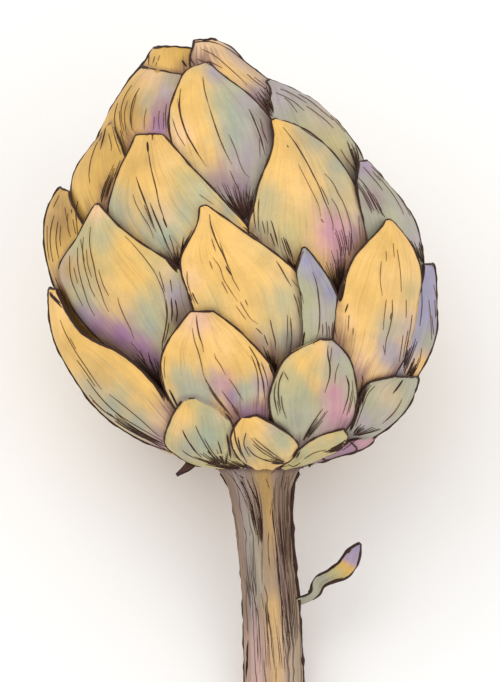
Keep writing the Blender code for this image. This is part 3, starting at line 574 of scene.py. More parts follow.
# Rings of bracts that close the head behind: height of the tips, drop to the feet, half width and lift, in
# mm, and turns in degrees
HIDDEN_RINGS = (
    (105.5, 34, 14.0, 0.0, (128, 188, 244)),
    (97.0, 44, 16.0, -0.6, (118, 178, 236)),
    (91.0, 46, 15.5, -1.6, (258,)),
    (86.0, 46, 18.0, -0.4, (148, 210)),
    (76.0, 47, 19.0, -0.6, (114, 180, 236)),
    (64.0, 48, 20.0, 0.0, (150, 208, 254)),
    (54.0, 44, 18.0, 0.0, (118, 180, 230)),
    (42.0, 38, 17.0, 0.0, (150, 200, 245)),
    (31.0, 28, 15.0, 0.0, (122, 178, 226)),
    (19.0, 17.8, 12.0, 0.3, (108, 152, 198, 246)),
    (9.5, 8.5, 9.5, 0.6, (130, 176, 222)),
)
TURN_JITTER_DEG = 3
HEIGHT_JITTER = 1.2
HIDDEN_WIDTHS = (0.5, 0.85, 1.0, 0.9, 0.6, 0.06)

# Washes of a hidden bract: across it, along it, radius as a share of its length, paint, and strength
HIDDEN_WASHES = (
    (-0.3, 0.75, 0.30, "ochre", 0.9),
    (0.5, 0.65, 0.22, "sage", 0.8),
    (0.7, 0.5, 0.2, "sage_grey", 0.8),
    (-0.6, 0.5, 0.2, "olive", 0.6),
    (0.1, 0.42, 0.16, "purple_light", 0.7),
    (-0.1, 0.3, 0.14, "purple", 0.7),
)
HIDDEN_WASH_WIDTH = 0.35
HIDDEN_GROUNDS = ("ochre", "ochre_light", "olive", "ochre_deep", "sage")

# A distance beyond any that matters, in mm
FAR = 99.0

# Strokes in the materials: spacing and width in mm, share of the places that have one, and their shortest
# and longest length in mm
Strokes = namedtuple("Strokes", "spacing width density shortest longest seed")
BRACT_VEINS = Strokes(2.3, 0.20, 0.42, 7.0, 24.0, 1.0)
FAINT_VEINS = Strokes(1.1, 0.22, 0.45, 5.0, 26.0, 2.0)
# Hatching that grows out from the corners between the bracts in front: painted shade
SHADE_HATCHING = Strokes(0.9, 0.24, 0.8, 1.0, 9.0, 3.0)
LONG_STEM_LINES = Strokes(1.3, 0.24, 0.55, 8.0, 45.0, 4.0)
FINE_STEM_LINES = Strokes(0.7, 0.16, 0.5, 4.0, 20.0, 5.0)
# How far they sway, in places, and how fast across, along and from bract to bract. Then how far along they
# are spread and how long their thin ends are in mm, and how thick those are.
STROKE_SWAY = 1.6
STROKE_SWAY_GRAIN = (0.10, 0.16, 1.0)
STROKE_SPREAD = 62.0
STROKE_END = 2.2
STROKE_END_WIDTH = 0.35
STROKE_SEED_SHIFT = 3.37
RELIEF_STRENGTH = 0.5

# Colours that the materials lay over the paint, linear
VEIN_BROWN = (0.09, 0.035, 0.025, 1)
# The dark margin's own ink, also the colour of the hatched painted shade
MARGIN_AND_HATCHED_SHADE_INK = (0.028, 0.010, 0.012, 1)
# Painted shade, laid in the corners between the bracts in front
PAINTED_SHADE_PURPLE = (0.115, 0.035, 0.075, 1)
# Painted shade beside the margins of the bracts in front, and at the roots of the leaf and the spur
PAINTED_CONTACT_SHADE = (0.12, 0.05, 0.06, 1)
STEM_INK = (0.045, 0.02, 0.02, 1)
PITH = (0.62, 0.60, 0.42, 1)
GREEN_RING = (0.36, 0.40, 0.22, 1)
FIBRE_BROWN = (0.20, 0.15, 0.08, 1)
RIM_BROWN = (0.14, 0.10, 0.07, 1)

# Floor and light: each lamp's name, place and size in metres, and power
FLOOR_SIZE = 6
FLOOR_WHITES = ((0.97, 0.97, 0.968, 1), (0.985, 0.985, 0.983, 1))
SKY_WHITE = (1, 0.99, 0.98, 1)
SKY_STRENGTH = 0.85
LAMPS = (("key", (-0.55, 0.25, 1.3), 1.3, 5.0), ("fill", (0.7, -0.5, 1.1), 1.2, 2.8))

# Camera: what the picture shows of the plant, and lengths in metres but for the sensor's, in mm
PHOTO_SIZE = (500, 682)
MM_PER_PIXEL = 0.25
NECK_PIXEL = (262, 468)
CAMERA_DISTANCE = 4.0
CAMERA_SENSOR = 36
CAMERA_REACH = 20


def smooth(low, high, value):
    """0 below low, 1 above high, and a soft step between."""
    share = np.clip((value - low) / (high - low), 0, 1)
    return share * share * (3 - 2 * share)


def linear(paint):
    """A named paint as linear red, green and blue."""
    return np.array([((c + 0.055) / 1.055) ** 2.4 for c in PAINTS[paint]])


# The head's form


def meridian(height):
    """Angle of a height on the head, 0 at the neck and pi at the crown."""
    return math.acos(1 - 2 * min(max(height / HEAD_HEIGHT, 0.0), 1.0))


def level(angle, column):
    """Smooth values from the form's levels at meridian angles, and how fast they change with the angle."""
    angles = np.array([meridian(row[0]) for row in HEAD_LEVELS])
    values = np.array([row[column] for row in HEAD_LEVELS], float)
    slopes = np.array([
        (values[min(i + 1, len(values) - 1)] - values[max(i - 1, 0)])
        / (angles[min(i + 1, len(values) - 1)] - angles[max(i - 1, 0)])
        for i in range(len(values))
    ])
    index = np.clip(np.searchsorted(angles, angle) - 1, 0, len(angles) - 2)
    width = angles[index + 1] - angles[index]
    share = (angle - angles[index]) / width
    steep = (values[index + 1] - values[index]) / width
    bend = slopes[index] + slopes[index + 1] - 2 * steep
    start = steep - slopes[index]
    value = values[index] + width * share * (slopes[index] + share * (start - bend * (1 - share)))
    return value, slopes[index] + share * (2 * (start - bend) + 3 * share * bend)


def girth(height):
    """Radius of the form at a height."""
    return float(level(meridian(height), 2)[0])


def on_form(turn, angle, proud):
    """Points at turns round the head and meridian angles, standing proud of the form, one row for each."""
    turn, angle = np.broadcast_arrays(np.asarray(turn, float), np.asarray(angle, float))
    middle, middle_change = level(angle, 1)
    radius, radius_change = level(angle, 2)
    none = np.zeros_like(turn)
    outward = np.stack([np.sin(turn), -np.cos(turn), none], -1)
    normal = outward * (HEAD_HEIGHT * np.sin(angle) / 2)[..., None]
    normal[..., 2] -= radius_change + middle_change * np.sin(turn)
    normal /= np.linalg.norm(normal, axis=-1, keepdims=True)
    centre = np.stack([middle, none, HEAD_HEIGHT * (1 - np.cos(angle)) / 2], -1)
    return centre + outward * radius[..., None] + normal * np.asarray(proud)[..., None]


# Bracts


def through(points, place):
    """A smooth curve through points, at a place counted in points from the first one."""
    index = min(int(place), len(points) - 2)
    share = place - index
    near = [points[min(max(index + step, 0), len(points) - 1)] for step in (-1, 0, 1, 2)]
    weights = (
        ((2 - share) * share - 1) * share / 2,
        ((3 * share - 5) * share * share + 2) / 2,
        ((4 - 3 * share) * share + 1) * share / 2,
        (share - 1) * share * share / 2,
    )
    return [sum(weight * number for weight, number in zip(weights, numbers)) for numbers in zip(*near)]


def margin(points, along):
    """Turns and meridian angles of a margin at shares of its length."""
    angles = [(math.radians(turn), meridian(height)) for turn, height in points]
    spots = [on_form(turn, angle, 0.0) for turn, angle in angles]
    steps = [float(np.linalg.norm(far - near)) for near, far in zip(spots, spots[1:])]
    rows = []
    for share in along:
        distance = share * sum(steps)
        index = 0
        while index < len(steps) - 1 and distance > steps[index]:
            distance -= steps[index]
            index += 1
        rows.append(through(angles, index + distance / steps[index]))
    return np.array(rows)


def wander(values, seed, reach):
    """A smooth wandering between -1 and 1 along an array of values, with bends about reach apart."""
    phases = np.random.default_rng(seed).uniform(0, 2 * math.pi, 4)
    total = sum(np.sin(values / reach * (1 + 0.73 * i) + phase) / (1 + i) for i, phase in enumerate(phases))
    # The four waves come to no more than this together
    return total / 2.08


def squares(index):
    """The four-sided faces of a grid of point numbers."""
    return np.stack([index[:-1, :-1], index[:-1, 1:], index[1:, 1:], index[1:, :-1]], -1).reshape(-1, 4)


def shell_faces(columns, rows):
    """Faces of a closed shell of two grids, the outer one first, joined round their rims."""
    shift = columns * rows
    index = np.arange(shift).reshape(rows, columns)
    outer = squares(index)
    rim = np.concatenate([index[0], index[1:, -1], index[-1, -2::-1], index[-2:0:-1, 0]])
    following = np.roll(rim, -1)
    sides = np.stack([following, rim, rim + shift, following + shift], -1)
    return np.concatenate([outer, outer[:, ::-1] + shift, sides])


def ring_faces(rings, sides):
    """Faces round a tube of rings of points."""
    faces = []
    for ring in range(rings - 1):
        for side in range(sides):
            near, following = ring * sides + side, ring * sides + (side + 1) % sides
            faces.append((near, following, following + sides, near + sides))
    return faces


def washed(colours, paint, share):
    """Colours with a paint laid over them."""
    share = np.clip(share, 0, 1)[:, None]
    return colours * (1 - share) + linear(paint) * share


def painted(bract, places, across_mm, across, along):
    """Linear colours of a bract's points: its ground, then each wash laid over it."""
    colours = np.tile(linear(bract.ground), (len(places), 1))
    for first, second, radius, paint, strength in bract.washes:
        if bract.hidden:
            distance = np.hypot((across - first) * HIDDEN_WASH_WIDTH, along - second) / radius
        else:
            seed = abs(int(first * 7 + second))
            bleed = WASH_REACH * (1 + WASH_BLEED * wander(places[:, 0] + 2 * places[:, 2], seed, 3.0))
            bleed = bleed * (1 + WASH_STREAK * wander(across_mm + 0.05 * places[:, 2], seed + 1, 0.55))
            above = (places[:, 2] - second) / WASH_HEIGHT
            distance = np.hypot(places[:, 0] - first, above) / (radius * bleed)
        colours = washed(colours, paint, strength * WASH_STRENGTH * np.exp(-(distance**2)))
    return colours


def bract_surface(bract, seed):
    """Everything about a bract's shell that its mesh and its paint need."""
    columns, rows = (cells + 1 for cells in (HIDDEN_CELLS if bract.hidden else SHOWN_CELLS))
    tip_height = max(bract.left[-1][1], bract.right[-1][1])
    # Columns crowd towards the margins, and rows towards the tip
    crowding = math.pi / 2 * COLUMN_CROWDING
    across_line = np.sin(np.linspace(-1, 1, columns) * crowding) / math.sin(crowding)
    along_line = np.linspace(0, 1, rows) ** ROW_CROWDING
    left = margin(bract.left, along_line)
    right = margin(bract.right, along_line)
    foot, tip = (on_form(*(left[end] + right[end]) / 2, 0.0) for end in (0, -1))
    length = float(np.linalg.norm(tip - foot))
    width = np.linalg.norm(on_form(*right.T, np.zeros(rows)) - on_form(*left.T, np.zeros(rows)), axis=1)
    across, along = np.meshgrid(across_line, along_line)

    # Where its points lie round the form, between wavy margins
    wave = (MARGIN_WAVE * wander(along_line * length, seed, WAVE_REACH) / np.maximum(width, 3.0))[:, None]
    share = (across + 1) / 2 * (1 + wave) - wave / 2
    turn = left[:, :1] * (1 - share) + right[:, :1] * share
    angle = left[:, 1:] * (1 - share) + right[:, 1:] * share

    # How proud of the form they stand: a sunk foot, a tucked tip, a cupped face, a keel, ribs and dents
    sink = min(BRACT_SINK_SHARE * length, LEAST_SINK + SINK_PER_HEIGHT * float(foot[2]))
    stand = BRACT_RISE + bract.lift - sink * (1 - along) ** SINK_CURVE
    if bract.hidden or tip_height < CROWN_TIPS:
        stand -= BRACT_TUCK * np.clip((along - TUCK_START) / (1 - TUCK_START), 0, 1) ** 2
    stand -= BRACT_CUP * np.abs(across) ** CUP_CURVE * np.sin(math.pi * np.minimum(along, 0.97)) ** 0.5
    stand += BRACT_KEEL * np.exp(-((across / KEEL_WIDTH) ** 2)) * smooth(0.1, 0.5, along) * (1 - 0.6 * along)
    sway = RIB_SWAY * wander(along * length, seed + 1, RIB_SWAY_REACH)
    ribs = np.sin(across * math.pi * RIBS_ACROSS / 2 + sway)
    stand += RIB_HEIGHT * ribs * (1 - np.abs(across) ** 4)
    stand += DENTS * wander(across * 6 + along * 9, seed + 2, 1.6)
    body = (1 - np.abs(across) ** 2) * smooth(0, 0.35, 1 - along)
    thickness = MARGIN_THICKNESS + (MIDDLE_THICKNESS - MARGIN_THICKNESS) * body
    outer = on_form(turn, angle, stand).reshape(-1, 3)
    inner = on_form(turn, angle, stand - thickness).reshape(-1, 3)

    half = np.repeat(width[:, None] / 2, columns, 1)
    widest = half.max()
    edge = np.minimum((1 - np.abs(across)) * half, (1 - along) * length).ravel()
    if not bract.hidden:
        for spot in BARE_SPOTS:
            edge = edge + 2 * bareness(outer, *spot)
    grain = np.stack([across * widest, along * length, np.full_like(across, seed * GRAIN_SHIFT)], -1)
    grain = grain.reshape(-1, 3)
    return {
        "points": np.concatenate([outer, inner]),
        "faces": shell_faces(columns, rows),
        "outer": outer,
        "grid": outer.reshape(rows, columns, 3),
        "length": length,
        "tip_height": tip_height,
        "shown": not bract.hidden,
        "colours": painted(bract, outer, grain[:, 0], across.ravel(), along.ravel()),
        "values": {
            "grain": grain,
            "squeeze": (half / widest).ravel(),
            "edge": edge,
            "shown": np.full(columns * rows, 0.0 if bract.hidden else 1.0),
        },
    }


def bareness(places, x, height, reach):
    """1 at a spot where the ink of a margin fades, and 0 far from it."""
    return np.exp(-((np.hypot(places[:, 0] - x, places[:, 2] - height) / reach) ** 2))


def hidden_bracts():
    """The bracts behind, ring by ring, each a little off its place, with washes of different strength."""
    places, looks = random.Random(7), random.Random(11)
    for tip_height, drop, half_width, lift, turns in HIDDEN_RINGS:
        for turn in turns:
            turn += places.uniform(-TURN_JITTER_DEG, TURN_JITTER_DEG)
            tip = tip_height + places.uniform(-HEIGHT_JITTER, 0)
            left, right = [], []
            for step, width in enumerate(HIDDEN_WIDTHS):
                height = tip - drop * (1 - step / (len(HIDDEN_WIDTHS) - 1))
                half = half_width * width
                reach = math.degrees(half / max(girth(height), half * 0.9))
                left.append((turn - reach, height))
                right.append((turn + reach, height))
            flip = looks.choice((-1, 1))
            washes = [
                (across * flip, along, radius, paint, strength * looks.uniform(0.6, 1.0))
                for across, along, radius, paint, strength in HIDDEN_WASHES
            ]
            yield Bract(left, right, lift, looks.choice(HIDDEN_GROUNDS), washes, True)


def nearness(surfaces):
    """For each bract, how far in mm its points are from the margins of the two nearest bracts in front."""
    found = []
    for surface in surfaces:
        points = surface["outer"].astype(np.float32)
        # No margin farther than this from the bract's middle shades it
        reach = surface["length"] * 0.9 + 12
        best = np.full((2, len(points)), FAR, np.float32)
        for other in surfaces:
            if other["tip_height"] >= surface["tip_height"]:
                continue
            # Every second point of the other's margin, without its foot
            grid = other["grid"][len(other["grid"]) // 4 :]
            spots = np.concatenate([grid[:, 0], grid[:, -1], grid[-1]])[::2].astype(np.float32)
            spots = spots[np.linalg.norm(spots - points.mean(0), axis=1) < reach]
            if len(spots):
                gaps = np.linalg.norm(points[:, None] - spots[None], axis=2).min(1)
                best = np.sort(np.concatenate([best, gaps[None]]), axis=0)[:2]
        found.append(best)
    return found


# Veins and the dark cords along margins


def drawn(veins):
    """Width, path in mm, and whether it is part of a fan of hatched painted shade, of each vein or line."""
    chance = random.Random(5)
    for item in veins.replace("\n", ";").split(";"):
        if not item.strip():
            continue
        size, *words = item.split()
        points = [[float(number) / 4 for number in word.split(",")] for word in words if word != ">"]
        points = [(VEINS_CORNER[0] + right, VEINS_CORNER[1] - down) for right, down in points]
        if "*" not in size:
            yield float(size) * VEIN_WIDTH, resampled(points, VEIN_STEP), False
            continue
        count, width = size.split("*")
        count = round(int(count) * FAN_DENSITY)
        first, last = np.array(points[: len(points) // 2]), np.array(points[len(points) // 2 :])
        for index in range(count):
            share = min(max((index + chance.uniform(-0.35, 0.35)) / (count - 1), 0), 1)
            path = resampled(first * (1 - share) + last * share, VEIN_STEP)
            width_now = float(width) * FAN_WIDTH * chance.uniform(0.7, 1.25)
            start = int(len(path) * chance.uniform(0, 0.45))
            end = int(len(path) * chance.uniform(0.8, 1.05))
            yield width_now, path[start:end], True


def resampled(points, step):
    """Points about a step apart on a smooth curve through the given ones."""
    points = [tuple(map(float, point)) for point in points]
    gaps = np.linalg.norm(np.diff(np.array(points), axis=0), axis=1)
    walked = np.concatenate([[0], np.cumsum(gaps)])
    count = max(int(walked[-1] / step), 3)
    places = np.interp(np.linspace(0, walked[-1], count + 1), walked, np.arange(len(points)))
    return np.array([through(points, place) for place in places])


def laid(tree, path):
    """Runs of places, normals and shares of the path, where it falls on the plant from the shown side."""
    runs = [[]]
    for index, (x, height) in enumerate(path):
        spot, normal, *_ = tree.ray_cast(Vector((x, RAY_START, height)), Vector((0, 1, 0)))
        if spot is None or runs[-1] and (spot - runs[-1][-1][0]).length > VEIN_JUMP:
            runs.append([])
        if spot is not None:
            runs[-1].append((spot, normal, index / (len(path) - 1)))
    return [[np.array(column, float) for column in zip(*run)] for run in runs if len(run) > 2]


def tube(spots, ups, halves, heights, sides):
    """Points and faces of a closed tube along places, with its half width and half height at each."""
    ahead = directions(np.gradient(spots, axis=0))
    across = directions(np.cross(ahead, ups))
    ups = np.cross(across, ahead)
    angles = np.linspace(0, 2 * math.pi, sides, endpoint=False)
    ring = across[:, None] * (halves[:, None] * np.cos(angles))[..., None]
    ring = ring + ups[:, None] * (heights[:, None] * np.sin(angles))[..., None]
    points = (spots[:, None] + ring).reshape(-1, 3)
    last = len(points) - sides
    ends = [tuple(range(sides))[::-1], tuple(range(last, last + sides))]
    return points, ring_faces(len(spots), sides) + ends


def directions(vectors):
    """Vectors made one long."""
    return vectors / np.maximum(np.linalg.norm(vectors, axis=1, keepdims=True), 1e-9)


class Lines:
    """Gathers tubes into one mesh's points, faces and colours."""

    def __init__(self):
        self.points, self.faces, self.colours, self.count = [], [], [], 0

    def add(self, points, faces, strength):
        """Adds a tube, whose strength is 0 for a faint brown line and 1 for full ink."""
        self.points.append(points)
        self.faces += [tuple(index + self.count for index in face) for face in faces]
        faint = np.tile(linear("faint_ink"), (len(points), 1))
        self.colours.append(washed(faint, "ink", np.array([strength])))
        self.count += len(points)

    def veins(self, veins, tree):
        """Adds raised veins and lines of hatched painted shade, each thinner at its ends and a little rough.
        """
        for number, (width, path, in_shade_fan) in enumerate(drawn(veins)):
            start, full, fade, loss = FAN_TAPER if in_shade_fan else VEIN_TAPER
            strength = FAN_STRENGTH if in_shade_fan else (width - FAINT_WIDTH) / FAINT_RANGE
            for spots, ups, shares in laid(tree, path):
                taper = start + (1 - start) * smooth(0, full, shares)
                taper = taper * (1 - loss * smooth(fade, 1.0, shares))
                rough = 1 + VEIN_ROUGHNESS * wander(np.arange(len(spots)) * VEIN_STEP, number, 1.1)
                halves = width / 2 * taper * rough
                heights = VEIN_HEIGHT * (0.6 + 0.4 * taper)
                self.add(*tube(spots + ups * VEIN_LIFT, ups, halves, heights, VEIN_SIDES), strength)

    def cord(self, path, radius, seed, bare=()):
        """Adds a rough dark cord along a margin, thicker at the plant's sides and thinner at bare spots."""
        path = resampled(path, CORD_STEP)
        halves = radius * (1 + CORD_ROUGHNESS * wander(np.arange(len(path)) * CORD_STEP, seed, 1.3))
        halves = halves * (1 + SIDE_CORD_GAIN * smooth(*SIDE_DEPTHS, np.abs(path[:, 1])))
        for spot in bare:
            halves = halves * (1 - BARE_LOSS * bareness(path, *spot))
        halves[[0, -1]] *= CORD_END
        ups = path - np.array([0, 0, HEAD_HEIGHT / 2])
        self.add(*tube(path, ups, halves, halves, CORD_SIDES), CORD_STRENGTH)

    def piece(self, name, node, slot, material):
        points, colours = np.concatenate(self.points), np.concatenate(self.colours)
        make_piece(name, node, material, points, self.faces, colours)


def outlines(surface):
    """The way round a bract's edge, and on the shown side also where the bract goes out of sight."""
    grid = surface["grid"]
    rows, columns = grid.shape[:2]
    # The foot is covered
    first = rows // 7
    left, right = edges = np.zeros(rows), np.full(rows, columns - 1.0)
    hidden_edges = []
    if surface["shown"]:
        left, right = evened(np.argmin(grid[:, :, 0], 1)), evened(np.argmax(grid[:, :, 0], 1))
        for edge, seen in zip(edges, (left, right)):
            away = [row for row in range(first, rows) if abs(seen[row] - edge[row]) > 2]
            if len(away) > 4:
                hidden_edges.append([grid[row, int(edge[row])] for row in away])
    places = [between_columns(grid, row, left[row]) for row in range(first, rows)]
    places += [grid[-1, column] for column in range(math.ceil(left[-1]) + 1, math.floor(right[-1]))]
    places += [between_columns(grid, row, right[row]) for row in range(rows - 1, first - 1, -1)]
    kept = [places[0]]
    for place in places[1:]:
        if np.linalg.norm(place - kept[-1]) > LEAST_GAP:
            kept.append(place)
    return [kept, *hidden_edges]


def evened(columns):
    """Column numbers with their jumps from row to row evened out."""
    padded = np.pad(columns.astype(float), EVENING_ROWS, mode="edge")
    weights = 2 * EVENING_ROWS + 1
    return np.convolve(padded, np.ones(weights) / weights, mode="valid")


def between_columns(grid, row, column):
    """The place in a row of the grid at a column number that needn't be whole."""
    whole = min(int(column), grid.shape[1] - 2)
    return grid[row, whole] * (1 - column + whole) + grid[row, whole + 1] * (column - whole)


# Pieces


def lying():
    """The matrix that takes the plant's own frame, in mm, to the model's frame in metres."""
    turned = Matrix.Rotation(LYING_TILT - math.pi / 2, 4, "X")
    return Matrix.Translation(NECK_PLACE) @ turned @ Matrix.Scale(MM, 4)


def make_piece(name, node, material, points, faces, colours, values=()):
    """A piece that rides on the model in a node's place, with its paint and named values on its points."""
    mesh = bpy.data.meshes.new(name)
    mesh.from_pydata([tuple(point) for point in points], [], [tuple(face) for face in faces])
    for key, data in dict(values).items():
        data = np.asarray(data, np.float32)
        kind, field = ("FLOAT", "value") if data.ndim == 1 else ("FLOAT_VECTOR", "vector")
        mesh.attributes.new(key, kind, "POINT").data.foreach_set(field, data.ravel())
    paint = mesh.attributes.new("paint", "FLOAT_COLOR", "POINT")
    opaque = np.concatenate([colours, np.ones((len(colours), 1))], 1)
    paint.data.foreach_set("color", opaque.astype(np.float32).ravel())
    mesh.transform(lying())
    settle(mesh)
    mesh.materials.append(material)
    mesh.polygons.foreach_set("use_smooth", [True] * len(mesh.polygons))
    mesh.set_sharp_from_angle(angle=SHARP_ANGLE)
    piece = bpy.data.objects.new(name, mesh)
    bpy.context.scene.collection.objects.link(piece)
    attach(piece, "root")
    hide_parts(node)


def settle(mesh):
    """Presses flat what would reach below the surface that the plant lies on."""
    places = np.empty(len(mesh.vertices) * 3, np.float32)
    mesh.vertices.foreach_get("co", places)
    places[2::3] = np.maximum(places[2::3], 0)
    mesh.vertices.foreach_set("co", places)
    mesh.update()


def two(data):
    """Values for a shell's outer and inner points from those of its outer ones."""
    return np.concatenate([data, data])


def build_head(bract_material, bud_material, line_material):
    bracts = (*SHOWN_BRACTS, *hidden_bracts())
    surfaces = [bract_surface(bract, seed) for seed, bract in enumerate(bracts, 1)]
    for number, (surface, (near, corner)) in enumerate(zip(surfaces, nearness(surfaces)), 1):
        inner_colours = surface["colours"] * 0.55 + linear("sage_grey") * 0.3
        colours = np.concatenate([surface["colours"], inner_colours])
        values = {**surface["values"], "near": near, "corner": corner}
        make_piece(
            f"bract_{number:02d}", "head", bract_material,
            surface["points"], surface["faces"], colours, {key: two(data) for key, data in values.items()},
        )  # fmt: skip
    build_bud(bud_material)
    lines = Lines()
    for number, surface in enumerate(surfaces, 1):
        for path in outlines(surface):
            lines.cord(path, CORD_RADIUS, number, BARE_SPOTS if surface["shown"] else ())
    lines.veins(HEAD_VEINS_AND_SHADE, outer_tree([surface["grid"] for surface in surfaces if surface["shown"]]))
    lines.piece("head_veins_and_shade", "head", "bract_skin", line_material)


def outer_tree(grids):
    """A search tree over grids of points."""
    points, faces = [], []
    for grid in grids:
        rows, columns = grid.shape[:2]
        faces += squares(np.arange(rows * columns).reshape(rows, columns) + len(points)).tolist()
        points += grid.reshape(-1, 3).tolist()
    return BVHTree.FromPolygons(points, faces)


def build_bud(material):
    """The bud that the bracts grow from, which shows only deep between them, in plum as painted shade."""
    angles = np.linspace(0.02, math.pi - 0.12, BUD_RINGS)
    turns = np.linspace(0, 2 * math.pi, BUD_SIDES, endpoint=False)
    turn, angle = np.meshgrid(turns, angles)
    inset = BUD_INSET * smooth(0.15, 0.9, angle) + BUD_FOOT_INSET * smooth(0.0, 0.1, angle)
    points = on_form(turn, angle, -inset).reshape(-1, 3)
    points[:BUD_SIDES, 2] = BUD_FOOT
    foot = len(points)
    crown_lean, _, crown_height = points[-BUD_SIDES:].mean(0)
    points = np.concatenate([points, [(0, 0, BUD_FOOT), (crown_lean, 0, crown_height + 0.3)]])
    faces = ring_faces(BUD_RINGS, BUD_SIDES)
    last = (BUD_RINGS - 1) * BUD_SIDES
    for side in range(BUD_SIDES):
        following = (side + 1) % BUD_SIDES
        faces += [(foot, following, side), (foot + 1, last + side, last + following)]
    # Painted shade: plum deep between the bracts, turning to ochre up in the crown
    plum = np.tile(linear("plum"), (len(points), 1))
    colours = washed(plum, "ochre_deep", smooth(*BUD_OCHRE, points[:, 2]))
    make_piece("bud", "head", material, points, faces, colours)


# Stem, leaf and spur


def stem_axis(below):
    """How far the stem's axis is to the right of the neck."""
    return STEM_BEND * np.sin(math.pi / 2 * below / STEM_LENGTH)


def build_stem(material):
    """The ribbed stem, flared under the head, with its cut end a little hollow in the middle."""
    sides = np.linspace(0, 2 * math.pi, STEM_SIDES, endpoint=False)
    side, below = np.meshgrid(sides, np.linspace(-STEM_REACH, STEM_LENGTH, STEM_RINGS))
    sway = 0.35 * np.sin(below / 17.0) + 0.15 * np.sin(below / 6.1 + 1.0)
    radius = STEM_RADIUS + STEM_FLARE * np.exp(-below / STEM_FLARE_LENGTH)
    radius += STEM_RIB_DEPTH * np.cos(STEM_RIBS * side + sway)
    radius += 0.10 * np.sin(31 * side + 2.2 * np.sin(below / 11.0)) + 0.05 * np.sin(57 * side + below / 9.0)
    radius += 0.12 * np.sin(below / 7.3 + 1.7 * np.sin(side)) * smooth(0, 8, below)
    radius -= STEM_END_ROUND * smooth(STEM_LENGTH - 0.8, STEM_LENGTH, below)
    x = stem_axis(below) + radius * np.cos(side)
    x -= np.interp(below, STEM_WAIST_PLACES, STEM_WAIST) * smooth(0.1, 1.0, np.cos(side))
    left_flare = STEM_FLARE_LEFT * np.exp(-np.maximum(below, 0) / STEM_FLARE_LEFT_LENGTH)
    x -= left_flare * smooth(0.1, 1.0, -np.cos(side))
    points = [np.stack([x, radius * np.sin(side), -below], -1).reshape(-1, 3)]
    cut = [np.zeros(x.size)]
    # The cut end below and the hidden end in the head, each closed by rings that shrink towards its middle
    for height, rim, is_cut in ((-STEM_LENGTH, radius[-1], True), (STEM_REACH, radius[0], False)):
        for ring in range(1, CAP_RINGS):
            share = 1 - ring / CAP_RINGS
            hollow = CUT_HOLLOW * smooth(0.75, 0.2, share) + 0.1 * np.sin(9 * sides) * share
            z = height + is_cut * hollow
            across = stem_axis(-height) + rim * share * np.cos(sides)
            points.append(np.stack([across, rim * share * np.sin(sides), z], -1))
            cut.append(np.full(STEM_SIDES, float(is_cut)))
    points = np.concatenate(points)
    rings = np.arange(len(points)).reshape(-1, STEM_SIDES)
    top = STEM_RINGS + CAP_RINGS - 1
    chain = [*rings[top:][::-1], *rings[:top]]
    faces = []
    for upper, lower in zip(chain, chain[1:]):
        faces += list(zip(np.roll(upper, -1), upper, lower, np.roll(lower, -1)))
    faces += [tuple(chain[0]), tuple(chain[-1][::-1])]
    out = points[:, 0] - stem_axis(-points[:, 2])
    turn = np.arctan2(out, -points[:, 1])
    values = {
        "grain": np.stack([turn * STEM_RADIUS, -points[:, 2], np.full(len(points), 5.0)], -1),
        "cut": np.concatenate(cut),
        "spread": np.hypot(out, points[:, 1]),
    }
    colours = stem_colours(turn, -points[:, 2])
    make_piece("stem_body", "stem", material, points, faces, colours, values)
    return points[: STEM_RINGS * STEM_SIDES].reshape(STEM_RINGS, STEM_SIDES, 3)


def stem_colours(turn, below):
    """Grey-lilac and mauve sides, ochre stripes, and a warmer lower part. The umber that is stronger on the
    upper right below the head, and the plum at the neck, are painted shade.
    """

    def stripe(middle, width, sway=0.0):
        return np.exp(-(((turn - middle - sway * np.sin(below / 9)) / width) ** 2))

    low = smooth(34, 46, below)
    colours = np.tile(linear("beige") * 0.62, (len(turn), 1))
    for paint, share in (
        ("lilac_grey", 0.8 * stripe(-0.75, 0.35)),
        ("mauve_grey", 0.8 * stripe(0.45, 0.25)),
        ("ochre_deep", 0.85 * stripe(0.02, 0.26, 0.1) * (0.6 + 0.4 * np.sin(below / 8.0 + 1.0))),
        ("umber", 0.55 * stripe(0.95, 0.35)),
        ("umber", 0.45 * stripe(-1.2, 0.25)),
        ("ochre_deep", 0.7 * stripe(-2.4, 0.3)),
        ("ochre_deep", 0.7 * stripe(2.2, 0.3)),
        # Painted shade: umber stronger on the upper right, below the head
        ("umber", 0.22 + 0.3 * stripe(0.6, 0.3) * smooth(45, 25, below)),
        ("sage_grey", 0.5 * stripe(-0.5, 0.3) * smooth(8, 14, below) * smooth(38, 28, below)),
        ("ochre", 0.5 * stripe(0.1, 0.3) * smooth(28, 36, below)),
        ("sage_grey", 0.5 * stripe(0.95, 0.25) * smooth(32, 40, below)),
        ("pink", 0.5 * low * stripe(-0.6, 0.5)),
        ("beige", 0.3 * low),
        # Painted shade where the stem goes in under the head
        ("plum", 0.6 * smooth(1.5, 0, below)),
    ):
        colours = washed(colours, paint, share)
    return colours


